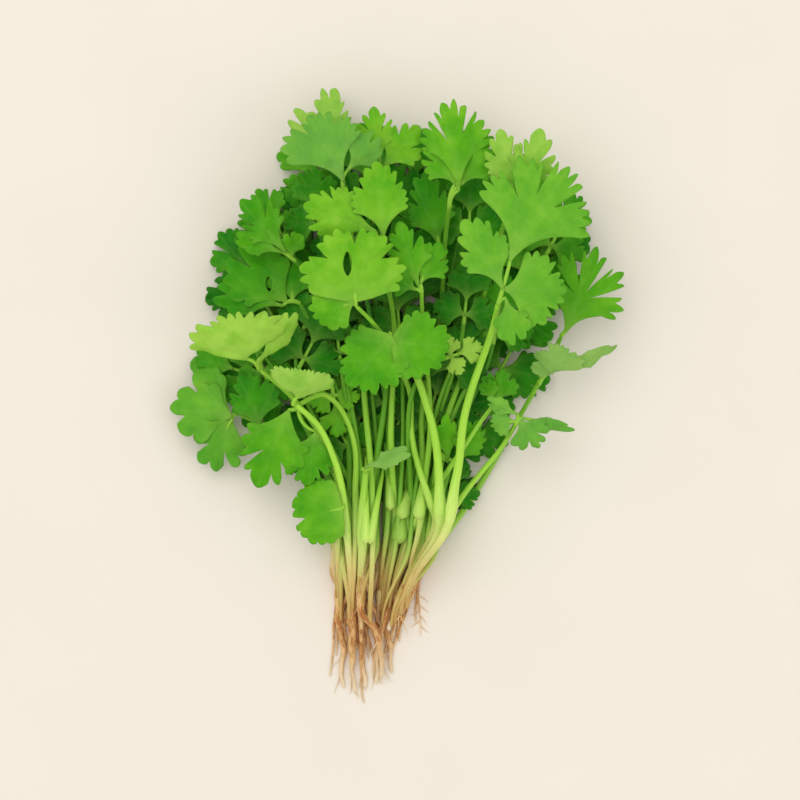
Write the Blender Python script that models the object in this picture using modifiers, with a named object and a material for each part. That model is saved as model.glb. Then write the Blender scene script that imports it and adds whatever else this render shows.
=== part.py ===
"""A bunch of fresh coriander, pulled up with its roots and laid on its side on a table.

The bunch lies along Y with its leaves towards +Y and its roots towards -Y, and rests on the plane z = 0.
Each taproot, each leaf stalk and each leaf blade is a piece of its own. The pieces are laid down one
after another, as a hand would lay them, and each rests on those that are already there. Routes, sizes
and places in the tables are in millimetres. Angles are in degrees, and a heading is a compass course
seen from above, so that 0 points along +Y and 90 along +X.
"""

import math
from collections import namedtuple

import bmesh
import bpy
import numpy as np
from mathutils import Matrix, Vector

MM = 0.001  # the tables' unit, in metres

# Driving dimensions, in millimetres.
BLADE_THICKNESS = 0.8
STALK_WIDTH = 2.0  # of the ribbon that carries the leaflets
CROWN_RADIUS = 2.9
ROOT_TIP_RADIUS = 0.9
STEM_TIP_SHARE = 0.62  # of the stem's radius at its base
JOINT_GAP = 0.35  # between a stem's side and the foot of a blade that leaves it
END_GAP = 0.8  # between a stem's end, which slants as it climbs, and the foot of its blade
REST_GAP = 0.6  # between pieces that rest on each other
LEAF_SPRING = 2.0  # how far a blade's curves hold it off what is under it
FORWARD = 0.5  # cosine of the widest turn at which a blade still runs on from its stem's end
OWN_STEM_REACH = 3.0  # of the joint, within which a blade and its own stem may be side by side

# How finely the pieces are made and the pile is measured, in millimetres.
CELL = 0.5
STATION = 1.25  # along a tube
SPOTS_ACROSS = 15  # over a tube's width
SPOTS_ALONG = 5  # from one station to the next
CURVE_STEPS = 40  # from one point of a route to the next
BLADE_PANEL = 13.0  # the flat panels that a bent blade is made of
SNAP = 0.3  # how near to a panel's edge a corner of the outline is taken to be on it
SAME_CORNER = 0.01  # between two corners of an outline that are one
LINE_TOLERANCE = 0.15
TUBE_SIDES_RESOLUTION = 2
PILE_REACH = 150.0
SETTLING_SWEEPS = 600

LEAF_GREEN = (0.10, 0.33, 0.02)
STEM_GREEN = (0.28, 0.55, 0.07)
ROOT_TAN = (0.56, 0.33, 0.13)

Root = namedtuple("Root", "name route radius")
Stem = namedtuple("Stem", "name radius rise route blades")
Blade = namedtuple("Blade", "name at form size heading pitch roll cup droop")
Leaflet = namedtuple("Leaflet", "along angle length width")


def both_sides(along, angle, length, width):
    """A left leaflet and its mirror image on the right of the stalk."""
    return [Leaflet(along, -angle, length, width), Leaflet(along, angle, length, width)]


# Leaf forms, as shares of the blade's size: where a leaflet leaves the stalk, and its length and width.
FORMS = {
    "fan": [Leaflet(0.10, 0, 0.90, 1.02)],
    "wide_fan": [Leaflet(0.10, 0, 0.90, 1.50)],
    "broad_fan": [Leaflet(0.08, 0, 0.92, 1.85)],
    "narrow_fan": [Leaflet(0.10, 0, 0.90, 0.72)],
    "fan_and_side": [Leaflet(0.22, 0, 0.78, 0.86), Leaflet(0.10, 74, 0.52, 0.46)],
    "hooded": [Leaflet(0.26, -12, 0.74, 1.16), Leaflet(0.05, 54, 0.86, 0.36)],
    "pair": both_sides(0.15, 42, 0.83, 0.54),
    "close_pair": both_sides(0.14, 30, 0.86, 0.44),
    "splayed_pair": both_sides(0.12, 64, 0.86, 0.86),
    "three": [*both_sides(0.20, 82, 0.46, 0.42), Leaflet(0.42, 0, 0.58, 0.60)],
    "spray": [
        *both_sides(0.14, 88, 0.38, 0.36),
        *both_sides(0.44, 70, 0.38, 0.34),
        Leaflet(0.62, 0, 0.38, 0.46),
    ],
    "tuft": [Leaflet(0.08, 98, 0.92, 0.80), Leaflet(0.14, -126, 0.60, 0.62), Leaflet(0.20, -54, 0.78, 0.40)],
    "great": [Leaflet(0.08, -45, 0.54, 0.28), Leaflet(0.10, 86, 0.46, 0.50), Leaflet(0.34, 0, 0.66, 0.74)],
    "lopsided": [Leaflet(0.10, -118, 0.66, 0.46), Leaflet(0.14, 0, 0.86, 1.10)],
}

# Half of a leaflet's outline from its stalk to its tip, as shares of half its width and of its length.
LEAFLET_SIDE = [(0.24, 0.14), (0.82, 0.40), (1.0, 0.62), (0.58, 0.65), (0.68, 0.90), (0.24, 0.87)]

ROOTS = [
    Root("root_01", [(-24.8, -60), (-25.0, -77), (-23.4, -97), (-22.2, -118)], 2.7),
    Root("root_02", [(-14.6, -60), (-17.6, -77), (-15.4, -97), (-13.4, -119)], 2.8),
    Root("root_03", [(-4.6, -58), (-7.8, -70), (-7.0, -84), (-4.2, -101), (-2.0, -112)], 2.6),
    Root("root_04", [(4.6, -57), (1.2, -71), (-3.6, -86), (-8.4, -98), (-10.0, -117)], 2.7),
    Root("root_05", [(-20.0, -58), (-19.6, -77), (-19.0, -95), (-18.4, -121)], 2.9),
    Root("root_06", [(-10.0, -60), (-15.6, -74), (-14.8, -86), (-9.0, -97), (-7.4, -115)], 2.6),
    Root("root_07", [(11.0, -60), (6.2, -74), (1.0, -86), (-4.4, -95)], 2.9),
]

# Laid from the table upwards. The first names are the lowest in the pile.
STEMS = [
    Stem("stem_02", 1.8, 0, [(-15.5, -58.5), (-13, -20), (-10, 20), (-9, 50)], [
        Blade("leaf_29", 0.33, "spray", 50, -22, 0, 0, -2, -4),
        Blade("leaf_02", 1.0, "spray", 62, -4, 10, 0, -7, -16)]),
    Stem("stem_03", 1.7, 0, [(7.0, -55), (14, -20), (26, 10), (36, 30)], [
        Blade("leaf_30", 0.32, "spray", 50, 10, 0, 0, -2, -4),
        Blade("leaf_03", 1.0, "spray", 58, 38, 8, 0, -7, -16)]),
    Stem("stem_01", 1.7, 0, [(-26.5, -58), (-27, -30), (-36, 2), (-46, 24)], [
        Blade("leaf_01", 1.0, "spray", 50, -30, 8, 0, -7, -14)]),
    Stem("stem_04", 1.7, 0, [(-23.4, -58), (-26, -38), (-42, -17), (-65.5, -6.5)], [
        Blade("leaf_04", 1.0, "broad_fan", 25, -92, 6, 4, -8, -14),
        Blade("leaf_05", 0.76, "fan", 28, -30, 14, -8, -8, -12)]),
    Stem("stem_05", 1.8, 3, [(-19.4, -56.5), (-20, -20), (-28, 15), (-40, 38)], [
        Blade("leaf_06", 1.0, "pair", 42, -62, 6, 6, -7, -14)]),
    Stem("stem_06", 1.6, 6, [(-9.0, -58.5), (-10, -10), (-24, 34), (-42, 55)], [
        Blade("leaf_07", 1.0, "pair", 32, -48, 16, 0, -8, -14)]),
    Stem("stem_07", 1.7, 3, [(-3.8, -56.5), (-4, 0), (-13, 55), (-23, 89)], [
        Blade("leaf_08", 1.0, "fan", 34, -11, 14, 0, -6, -12)]),
    Stem("stem_08", 1.8, 5, [(-13.6, -58.5), (-6, 0), (-6, 45), (-8, 82)], [
        Blade("leaf_09", 1.0, "three", 36, 4, 18, 0, -7, -16)]),
    Stem("stem_09", 1.7, 5, [(9.0, -58.5), (10, -10), (16, 35), (20, 76)], [
        Blade("leaf_10", 0.84, "narrow_fan", 27, -38, 26, 0, -7, -10),
        Blade("leaf_11", 1.0, "three", 42, 0, 14, 0, -7, -18)]),
    Stem("stem_10", 1.7, 7, [(12.0, -58.5), (18, -15), (31, 30), (42, 70)], [
        Blade("leaf_12", 1.0, "close_pair", 43, 14, 18, 0, -7, -14),
        Blade("leaf_13", 0.28, "fan", 24, 36, 14, 20, -8, -8)]),
    Stem("stem_11", 1.5, 4, [(4.2, -55), (20, -28), (30, -13), (38, -3)], [
        Blade("leaf_14", 1.0, "pair", 22, 12, 14, 0, -7, -10)]),
    Stem("stem_12", 1.6, 7, [(13.6, -62.5), (28.4, -42), (46.4, -14), (58.4, 9), (65.4, 25)], [
        Blade("leaf_15", 1.0, "wide_fan", 35, 12, 14, 0, -5, -12),
        Blade("leaf_16", 0.78, "wide_fan", 24, 14, 52, 0, -10, -10)]),
    Stem("stem_13", 1.5, 8, [(16.0, -55), (29.4, -36), (39.4, -22), (46.8, -11)], [
        Blade("leaf_17", 1.0, "tuft", 21, 20, 14, 0, -8, -14)]),
    Stem("stem_14", 1.6, 9, [(-24.6, -54), (-25.0, -36), (-31, -18), (-42.6, 0), (-55.6, 11)], [
        Blade("leaf_18", 1.0, "hooded", 32, -26, 52, 0, -10, -12)]),
    Stem("stem_15", 1.7, 9, [(-17.4, -52), (-17.6, -36), (-17.0, -20), (-21.6, -6), (-30, 1), (-40, -3)], [
        Blade("leaf_19", 1.0, "close_pair", 36, 187, -4, 0, -8, -14)]),
    Stem("stem_16", 1.9, 12, [(-21.0, -54), (-22.0, -38), (-24.8, -27), (-32.0, -12), (-42.0, -2)], [
        Blade("leaf_20", 1.0, "wide_fan", 19, 26, 50, 0, -12, -8),
        Blade("leaf_21", 0.20, "fan", 25, -112, 4, 4, -10, -14)]),
    Stem("stem_17", 1.6, 9, [(-10.6, -54), (-13, 0), (-18, 45), (-21, 80)], [
        Blade("leaf_22", 1.0, "fan_and_side", 37, -29, 16, 0, -6, -14)]),
    Stem("stem_18", 1.6, 10, [(-1.4, -52), (-3, 0), (-3, 34), (-8, 62)], [
        Blade("leaf_23", 1.0, "pair", 34, -34, 16, 0, -7, -14)]),
    Stem("stem_19", 1.5, 10, [(8.6, -49), (11.4, -20), (11.0, 8), (9, 42)], [
        Blade("leaf_24", 1.0, "three", 30, -4, 20, 0, -7, -14)]),
    Stem("stem_20", 1.5, 12, [(14, -46), (7.2, -27), (5.2, -13), (5.4, 1), (0.4, 14), (-7, 26), (-17, 36)], [
        Blade("leaf_25", 1.0, "lopsided", 31, -4, 14, 0, -8, -14)]),
    Stem("stem_21", 2.2, 0, [(-14.8, -57), (-13.6, -44), (-13.4, -28)], [
        Blade("leaf_26", 1.0, "narrow_fan", 20, 62, 14, -42, -8, -8)]),
    Stem("stem_22", 2.3, 12, [(16.6, -48), (15.8, -37), (14.2, -21), (11.4, -5), (6.4, 11), (-3, 24)], [
        Blade("leaf_27", 1.0, "splayed_pair", 28, 164, 6, 0, -8, -14)]),
    Stem("stem_23", 2.3, 15, [(20.6, -47), (22, -37), (24.6, -25), (27, -9), (31, 7), (35.6, 23), (39, 37)], [
        Blade("leaf_28", 1.0, "great", 56, 17, 10, 0, -7, -14)]),
]


def material(name, colour, roughness):
    """A plain plant surface of one colour."""
    made = bpy.data.materials.new(name)
    made.use_nodes = True
    shader = made.node_tree.nodes["Principled BSDF"]
    shader.inputs["Base Color"].default_value = (*colour, 1)
    shader.inputs["Roughness"].default_value = roughness
    shader.inputs["Metallic"].default_value = 0
    return made


def smooth_route(points):
    """Stations evenly spaced along a smooth curve through the route's own points."""
    points = np.array(points, float)
    ends = np.vstack([2 * points[0] - points[1], points, 2 * points[-1] - points[-2]])
    fine = []
    for before, start, end, after in zip(ends, ends[1:], ends[2:], ends[3:]):
        for t in np.linspace(0, 1, CURVE_STEPS, endpoint=False):
            square = (2 * before - 5 * start + 4 * end - after) * t**2
            cube = (3 * start - before - 3 * end + after) * t**3
            fine.append((2 * start + (end - before) * t + square + cube) / 2)
    fine = np.array([*fine, points[-1]])
    along = np.concatenate([[0], np.cumsum(np.linalg.norm(np.diff(fine, axis=0), axis=1))])
    wanted = np.linspace(0, along[-1], int(along[-1] / STATION) + 1)
    return np.stack([np.interp(wanted, along, fine[:, k]) for k in range(2)], axis=1)


def straightened(line, first, last):
    """The stations that a line of straight pieces needs to stay within the tolerance."""
    chord = line[last] - line[first]
    off = line[first:last + 1] - line[first]
    beside = off - np.outer(off @ chord / (chord @ chord), chord)
    miss = np.linalg.norm(beside, axis=1)
    worst = int(miss.argmax())
    if miss[worst] < LINE_TOLERANCE:
        return [first]
    return straightened(line, first, first + worst) + straightened(line, first + worst, last)


class Pile:
    """How high the pieces already laid reach over each spot of the table."""

    def __init__(self):
        side = int(2 * PILE_REACH / CELL)
        self.top = np.zeros((side, side))

    def cells(self, xy):
        """The rows and columns of the spots at xy."""
        return tuple(np.floor((np.asarray(xy) + PILE_REACH) / CELL).astype(int).T)

    def under(self, xy):
        """The height that a piece has to clear at each spot: the table, or a piece and a gap."""
        height = self.top[self.cells(xy)]
        return np.where(height > 0, height + REST_GAP, 0)

    def add(self, points):
        """Raises the pile to the points, and a cell round them, so that neighbours stay apart."""
        x, y = self.cells(points[:, :2])
        for dx in (-1, 0, 1):
            for dy in (-1, 0, 1):
                np.maximum.at(self.top, (x + dx, y + dy), points[:, 2])


def across(route, radius):
    """Spots over a tube's width at each station, with each spot's distance from the middle as a share."""
    along = np.gradient(route, axis=0)
    along /= np.linalg.norm(along, axis=1)[:, None]
    sideways = np.stack([along[:, 1], -along[:, 0]], axis=1)
    shares = np.linspace(-1, 1, SPOTS_ACROSS)
    spots = route[:, None] + sideways[:, None] * (shares[None, :, None] * radius[:, None, None])
    return spots, shares


def resting_heights(pile, route, radius, held):
    """Heights of a tube's middle line: a stiff stalk laid on the pile, held at the stations in held."""
    spots, shares = across(route, radius)
    bulge = radius[:, None] * np.sqrt(1 - shares**2)[None, :]
    need = (pile.under(spots.reshape(-1, 2)).reshape(bulge.shape) + bulge).max(axis=1)
    need = np.maximum(need, radius)
    need[1:-1] = np.maximum(need[1:-1], np.maximum(need[2:], need[:-2]))
    need[0] = max(need[0], need[1])
    for station, height in held.items():
        need[station] = max(need[station], height)
    heights = need.copy()
    for _ in range(SETTLING_SWEEPS):
        eased = heights.copy()
        eased[1:-1] = (heights[:-2] + 2 * heights[1:-1] + heights[2:]) / 4
        heights = np.maximum(need, eased)
    return heights


def lay_tube(pile, line, radius):
    """Adds a tube's upper side to the pile, from each station to the next."""
    spots, shares = across(line[:, :2], radius)
    bulge = radius[:, None] * np.sqrt(1 - shares**2)[None, :]
    tops = np.dstack([spots, (line[:, 2][:, None] + bulge)[:, :, None]])
    finer = np.concatenate([tops[:-1] * (1 - t) + tops[1:] * t for t in np.linspace(0, 1, SPOTS_ALONG)])
    pile.add(finer.reshape(-1, 3))


def leaflet_outline(leaflet, size):
    """A leaflet's outline in the blade's plane, round from the right of its stalk to the left."""
    half, length = leaflet.width * size / 2, leaflet.length * size
    right = [(STALK_WIDTH / 2, 0.0)] + [(half * u, length * v) for u, v in LEAFLET_SIDE]
    outline = right + [(0.0, length)] + [(-u, v) for u, v in reversed(right)]
    turn = math.radians(leaflet.angle)
    out = 0
    if leaflet.angle:  # it starts clear of the stalk's side, and of its mirror image at a fork
        aside = abs(math.sin(turn))
        out = STALK_WIDTH / 2 * max(aside, math.cos(turn) / aside)
    return [
        (
            u * math.cos(turn) + (v + out) * math.sin(turn),
            leaflet.along * size - u * math.sin(turn) + (v + out) * math.cos(turn),
        )
        for u, v in outline
    ]


def blade_outline(blade):
    """The whole blade's outline: up the stalk's right side, round every leaflet, and down its left."""
    leaflets = FORMS[blade.form]
    rights = sorted((x for x in leaflets if x.angle > 0), key=lambda x: x.along)
    lefts = sorted((x for x in leaflets if x.angle < 0), key=lambda x: -x.along)
    tips = [x for x in leaflets if x.angle == 0]
    outline = [(STALK_WIDTH / 2, 0.0)]
    for leaflet in rights + tips:
        outline += leaflet_outline(leaflet, blade.size)
    for leaflet in lefts:
        outline += leaflet_outline(leaflet, blade.size)
    outline.append((-STALK_WIDTH / 2, 0.0))
    apart = [math.dist(a, b) > SAME_CORNER for a, b in zip(outline, outline[1:])]
    return [outline[0], *(corner for corner, kept in zip(outline[1:], apart) if kept)]


def bent(u, v, blade):
    """A point of the flat blade once its sides are cupped and its length droops."""
    cup = math.radians(blade.cup) / (blade.size / 4)
    droop = math.radians(blade.droop) / (blade.size / 2)
    reach = 1 / droop - (1 - math.cos(cup * u)) / cup
    return (math.sin(cup * u) / cup, reach * math.sin(droop * v), 1 / droop - reach * math.cos(droop * v))


def turned(blade):
    """The rotation from the blade's own plane to how it lies: rolled, then pitched, then headed."""
    return (
        Matrix.Rotation(-math.radians(blade.heading), 3, "Z")
        @ Matrix.Rotation(math.radians(blade.pitch), 3, "X")
        @ Matrix.Rotation(math.radians(blade.roll), 3, "Y")
    )


def blade_surface(blade):
    """The blade as a thin bent sheet in millimetres, turned as it lies, with its foot at the origin."""
    outline = blade_outline(blade)
    sheet = bmesh.new()
    corners = [sheet.verts.new((u, v, 0)) for u, v in outline]
    sheet.faces.new(corners)
    sheet.normal_update()
    bmesh.ops.triangulate(sheet, faces=sheet.faces[:], ngon_method="BEAUTY")
    for axis in (0, 1):
        reach = [p[axis] for p in outline]
        direction = Vector((axis == 0, axis == 1, 0))
        first, last = math.ceil(min(reach) / BLADE_PANEL), math.floor(max(reach) / BLADE_PANEL)
        for step in range(first, last + 1):
            everything = sheet.verts[:] + sheet.edges[:] + sheet.faces[:]
            cut = direction * (step * BLADE_PANEL)
            bmesh.ops.bisect_plane(sheet, geom=everything, dist=SNAP, plane_co=cut, plane_no=direction)
    sheet.normal_update()
    bmesh.ops.triangulate(sheet, faces=sheet.faces[:])
    turn = turned(blade)
    for vertex in sheet.verts:
        vertex.co = turn @ Vector(bent(vertex.co.x, vertex.co.y, blade))
    return sheet


def samples(sheet):
    """Spots spread over the sheet, closer together than the pile's cells."""
    found = []
    for face in sheet.faces:
        a, b, c = (np.array(v.co) for v in face.verts)
        longest = max(np.linalg.norm(b - a), np.linalg.norm(c - a), np.linalg.norm(c - b))
        count = max(2, math.ceil(longest / (0.8 * CELL)))
        i, j = np.meshgrid(np.arange(count + 1), np.arange(count + 1))
        inside = i + j <= count
        s, t = i[inside] / count, j[inside] / count
        found.append(a + s[:, None] * (b - a) + t[:, None] * (c - a))
    return np.concatenate(found)


def collection(name):
    """A new collection in the scene."""
    made = bpy.data.collections.new(name)
    bpy.context.scene.collection.children.link(made)
    return made


def add_tube(name, line, radius, look, home):
    """A solid stalk or root: a bevelled curve whose thickness follows the stations' radii."""
    curve = bpy.data.curves.new(name, "CURVE")
    curve.dimensions = "3D"
    curve.bevel_depth = MM
    curve.bevel_resolution = TUBE_SIDES_RESOLUTION
    curve.use_fill_caps = True
    stations = [*straightened(line, 0, len(line) - 1), len(line) - 1]
    spline = curve.splines.new("POLY")
    spline.points.add(len(stations) - 1)
    for point, station in zip(spline.points, stations):
        point.co = (*(line[station] * MM), 1)
        point.radius = radius[station]
    curve.materials.append(look)
    made = bpy.data.objects.new(name, curve)
    home.objects.link(made)


def add_blade(blade, sheet, foot, look, home):
    """The blade's sheet made a solid of one even thickness, with its foot where it meets the stem."""
    mesh = bpy.data.meshes.new(blade.name)
    sheet.to_mesh(mesh)
    mesh.transform(Matrix.Scale(MM, 4))
    mesh.materials.append(look)
    made = bpy.data.objects.new(blade.name, mesh)
    made.location = Vector(foot) * MM
    thickness = made.modifiers.new("thickness", "SOLIDIFY")
    thickness.thickness = BLADE_THICKNESS * MM
    thickness.offset = 0
    home.objects.link(made)


def lay_root(root, pile, look, home):
    """Lays a root that thins towards its tip, and tells where its crown is."""
    route = smooth_route(root.route)
    share = np.linspace(0, 1, len(route))
    radius = root.radius + (ROOT_TIP_RADIUS - root.radius) * share**0.8
    line = np.column_stack([route, resting_heights(pile, route, radius, {})])
    lay_tube(pile, line, radius)
    add_tube(root.name, line, radius, look, home)
    return line[0]


def foot_offset(blade, route, station, radius):
    """From the stem's middle line to the blade's foot: past the end of the stem, or on top of its side."""
    ahead = np.array([math.sin(math.radians(blade.heading)), math.cos(math.radians(blade.heading))])
    near = route[max(station - 2, 0):station + 3]
    along = (near[-1] - near[0]) / np.linalg.norm(near[-1] - near[0])
    if blade.at < 1 or ahead @ along < FORWARD:
        return np.array([0, 0, radius + JOINT_GAP + BLADE_THICKNESS / 2])
    sideways = abs(ahead[0] * along[1] - ahead[1] * along[0])
    return np.array([*(ahead * (END_GAP + radius * sideways)), 0])


def lay_stem(stem, crowns, pile, looks, home):
    """Lays a stem on the pile, holds it where its blades need it, and then lays its blades."""
    route = smooth_route(stem.route)
    count = len(route)
    radius = stem.radius * np.linspace(1, STEM_TIP_SHARE, count)
    held = {}
    for crown in crowns:
        if math.dist(crown[:2], route[0]) < CROWN_RADIUS:
            held[0] = crown[2]
    laid = []
    for blade in stem.blades:
        sheet = blade_surface(blade)
        points = samples(sheet)
        station = round(blade.at * (count - 1))
        offset = foot_offset(blade, route, station, radius[station])
        under = pile.under(points[:, :2] + route[station] + offset[:2])
        clear = np.where(under > 0, under + LEAF_SPRING, 0)
        held[station] = (clear - points[:, 2] + BLADE_THICKNESS / 2).max() - offset[2]
        laid.append((blade, sheet, points, station, offset))
    rise = math.tan(math.radians(stem.rise)) * STATION * (count - 1)
    held[count - 1] = max(held[count - 1], resting_heights(pile, route, radius, held)[0] + rise)
    line = np.column_stack([route, resting_heights(pile, route, radius, held)])
    lay_tube(pile, line, radius)
    add_tube(stem.name, line, radius, looks["stem"], home)
    for blade, sheet, points, station, offset in laid:
        foot = line[station] + offset
        reach = 0 if offset[2] else OWN_STEM_REACH
        away = points[np.linalg.norm(points[:, :2], axis=1) >= reach]
        lift = (pile.under(away[:, :2] + foot[:2]) - away[:, 2] - foot[2] + BLADE_THICKNESS / 2).max()
        foot[2] += max(lift, 0)
        pile.add(points + foot + (0, 0, BLADE_THICKNESS / 2))
        add_blade(blade, sheet, foot, looks["leaf"], home)


def centre(home):
    """Hangs every piece from one empty, and moves it so that the bunch lies centred on the origin."""
    bunch = bpy.data.objects.new("bunch", None)
    pieces = list(home.objects)
    bpy.context.view_layer.update()
    corners = np.array([o.matrix_world @ Vector(corner) for o in pieces for corner in o.bound_box])
    for piece in pieces:
        piece.parent = bunch
    home.objects.link(bunch)
    middle = (corners.min(axis=0) + corners.max(axis=0)) / 2
    bunch.location = (-middle[0], -middle[1], 0)


def main():
    for old in list(bpy.data.objects):
        bpy.data.objects.remove(old)
    home = collection("coriander_bunch")
    looks = {
        "leaf": material("leaf_green", LEAF_GREEN, 0.5),
        "stem": material("stem_green", STEM_GREEN, 0.4),
        "root": material("root_tan", ROOT_TAN, 0.8),
    }
    pile = Pile()
    crowns = [lay_root(root, pile, looks["root"], home) for root in ROOTS]
    for stem in STEMS:
        lay_stem(stem, crowns, pile, looks, home)
    centre(home)
    print(f"the pile is {pile.top.max():.1f} mm high")


main()
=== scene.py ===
# %% [markdown]
# # A bunch of fresh coriander
#
# Coriander is sold pulled up whole: thin taproots below, a sheaf of leaf stalks, and soft fan-shaped
# leaflets with rounded teeth on top. This lesson dresses a finished solid model of such a bunch. The model
# has one plain solid for each root, stalk and leaf blade, and each gets a piece of real surface here: a
# lobed and veined blade, a ribbed stalk, a wrinkled root. The bunch lies on its side, seen from above.

import math
from collections import namedtuple

import bmesh
import bpy
import numpy as np
from mathutils import Matrix, Vector, geometry, noise


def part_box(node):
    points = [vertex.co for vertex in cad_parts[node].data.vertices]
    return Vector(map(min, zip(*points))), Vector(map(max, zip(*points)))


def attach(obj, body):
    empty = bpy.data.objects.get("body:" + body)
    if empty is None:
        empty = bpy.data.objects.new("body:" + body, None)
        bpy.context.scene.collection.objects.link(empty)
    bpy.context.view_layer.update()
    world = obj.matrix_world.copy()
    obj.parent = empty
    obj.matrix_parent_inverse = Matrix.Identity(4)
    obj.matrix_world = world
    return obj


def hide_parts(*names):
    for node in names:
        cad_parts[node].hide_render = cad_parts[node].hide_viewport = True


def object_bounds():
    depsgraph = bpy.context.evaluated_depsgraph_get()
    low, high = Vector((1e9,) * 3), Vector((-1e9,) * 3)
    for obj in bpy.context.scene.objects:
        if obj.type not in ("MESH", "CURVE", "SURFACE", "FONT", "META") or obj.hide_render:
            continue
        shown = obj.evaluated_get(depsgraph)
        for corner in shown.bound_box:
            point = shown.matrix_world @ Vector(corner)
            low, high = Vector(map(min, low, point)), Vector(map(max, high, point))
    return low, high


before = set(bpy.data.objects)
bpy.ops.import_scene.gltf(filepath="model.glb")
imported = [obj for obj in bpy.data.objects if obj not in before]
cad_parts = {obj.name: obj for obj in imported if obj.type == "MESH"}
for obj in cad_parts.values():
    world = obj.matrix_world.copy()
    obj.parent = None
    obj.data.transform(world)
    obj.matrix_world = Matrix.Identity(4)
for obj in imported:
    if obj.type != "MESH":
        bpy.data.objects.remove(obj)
solid_low, solid_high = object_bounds()
middle = (solid_low + solid_high) / 2
MM = 0.001
CLEARANCE = 0.1 * MM  # the least height of a stalk or a taproot above the table
print("the solid bunch is", [round((b - a) / MM, 1) for a, b in zip(solid_low, solid_high)], "mm")

# %% Curves and objects
def curve(t, *holds):
    """Places along the curve from the first hold to the last, which bends towards those between."""
    last = len(holds) - 1
    return sum(math.comb(last, k) * (1 - t)**(last - k) * t**k * np.array(hold)
               for k, hold in enumerate(holds))


def put_in_scene(name, data):
    """A new object in the scene, with the mesh, light or camera it is given."""
    made = bpy.data.objects.new(name, data)
    bpy.context.scene.collection.objects.link(made)
    return made


# %% [markdown]
# ## The table, the light and the camera
#
# Leaves show their colour best in soft light from all round, as on an overcast day by a window. So the room
# itself is bright, and one large panel above and to the left gives the leaves a gentle lit side. A second
# panel on the right keeps the shade open. The table is one plain cream board. The standard view transform
# shows each colour as it was mixed, which keeps the fresh greens bright.

# %% Colours as a maker writes them
def paint(code, alpha=1.0):
    """A colour written as sRGB hex, such as 6DB541, in the linear light values that Blender mixes with."""
    shares = [int(code[k:k + 2], 16) / 255 for k in (0, 2, 4)]
    linear = [s / 12.92 if s <= 0.04045 else ((s + 0.055) / 1.055) ** 2.4 for s in shares]
    return (*linear, alpha)


# %% One way to add a node, and to start a finish
def connect(node, inputs):
    """Gives a node's inputs their values, or links them to the outputs of other nodes."""
    for key, value in dict(inputs).items():
        if isinstance(value, bpy.types.NodeSocket):
            node.id_data.links.new(value, node.inputs[key])
        else:
            node.inputs[key].default_value = value


def add(tree, kind, inputs=(), stops=(), **settings):
    """Adds a node with its settings and inputs. A ramp also takes its stops of colour."""
    made = tree.nodes.new(kind)
    for key, value in settings.items():
        setattr(made, key, value)
    connect(made, inputs)
    for k, (place, code) in enumerate(stops):
        stop = made.color_ramp.elements[k] if k < 2 else made.color_ramp.elements.new(place)
        stop.position = place
        stop.color = paint(code)
    return made


def start_finish(name):
    """A new material, its node tree and its main shader."""
    finish = bpy.data.materials.new(name)
    finish.use_nodes = True
    return finish, finish.node_tree, finish.node_tree.nodes["Principled BSDF"]


# %% The room and its panels of light
ROOM_LIGHT = 0.74
room = bpy.data.worlds.new("overcast_room")
room.use_nodes = True
connect(room.node_tree.nodes["Background"], {"Color": paint("FFFFFF"), "Strength": ROOM_LIGHT})
bpy.context.scene.world = room


def hang_light(name, place, watts, size, tint):
    """A square panel of soft light that looks at the middle of the table."""
    panel = put_in_scene(name, bpy.data.lights.new(name, "AREA"))
    panel.data.energy = watts
    panel.data.size = size
    panel.data.color = paint(tint)[:3]
    panel.location = place
    panel.rotation_euler = (-Vector(place)).to_track_quat("-Z", "Y").to_euler()


hang_light("window_panel", (-0.50, 0.60, 1.60), 10.2, 1.6, "FFFEFA")
hang_light("fill_panel", (1.0, -0.4, 1.1), 2.0, 1.0, "FAFCFF")

# %% The camera looks straight down on the bunch
VIEW_WIDTH = 0.320  # of table that the picture shows
LENS, SENSOR = 135.0, 36.0
LEFT, BELOW = 1.8 * MM, 2.0 * MM  # of the bunch's middle, where the camera hangs
camera = put_in_scene("camera", bpy.data.cameras.new("camera"))
camera.data.lens = LENS
camera.data.sensor_width = SENSOR
camera.data.clip_end = 20.0
camera.location = (middle.x - LEFT, middle.y - BELOW, middle.z + VIEW_WIDTH * LENS / SENSOR)
bpy.context.scene.camera = camera
bpy.context.scene.view_settings.view_transform = "Standard"
print("the camera hangs", round(camera.location.z, 3), "m above the table")

# %% [markdown]
# A table top that size has no edge in the picture, so it is one large board. It is lacquered board: a
# broken cream with hardly any gloss. A very faint mottle of a few centimetres keeps it from looking like
# an empty screen. It is the stage, not a part of the bunch.

# %% The lacquered table board
BOARD_SIZE = 4.0
TABLE_MOTTLE = 60 * MM  # from one faint patch to the next
board_finish, tree, surface = start_finish("lacquered_board")
where = add(tree, "ShaderNodeTexCoord")
mottle = add(tree, "ShaderNodeTexNoise", {"Vector": where.outputs["Object"], "Scale": 1 / TABLE_MOTTLE})
cream = add(tree, "ShaderNodeValToRGB", {"Fac": mottle.outputs["Fac"]}, [(0.3, "F3EADC"), (0.7, "F5ECDE")])
connect(surface, {"Base Color": cream.outputs["Color"], "Roughness": 0.85, "Specular IOR Level": 0.1})

board = put_in_scene("table_board", bpy.data.meshes.new("table_board"))
corners = [(x * BOARD_SIZE / 2, y * BOARD_SIZE / 2, 0) for x, y in ((-1, -1), (1, -1), (1, 1), (-1, 1))]
board.data.from_pydata(corners, [], [(0, 1, 2, 3)])
board.data.materials.append(board_finish)
print("the board is", BOARD_SIZE, "m square")

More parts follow.
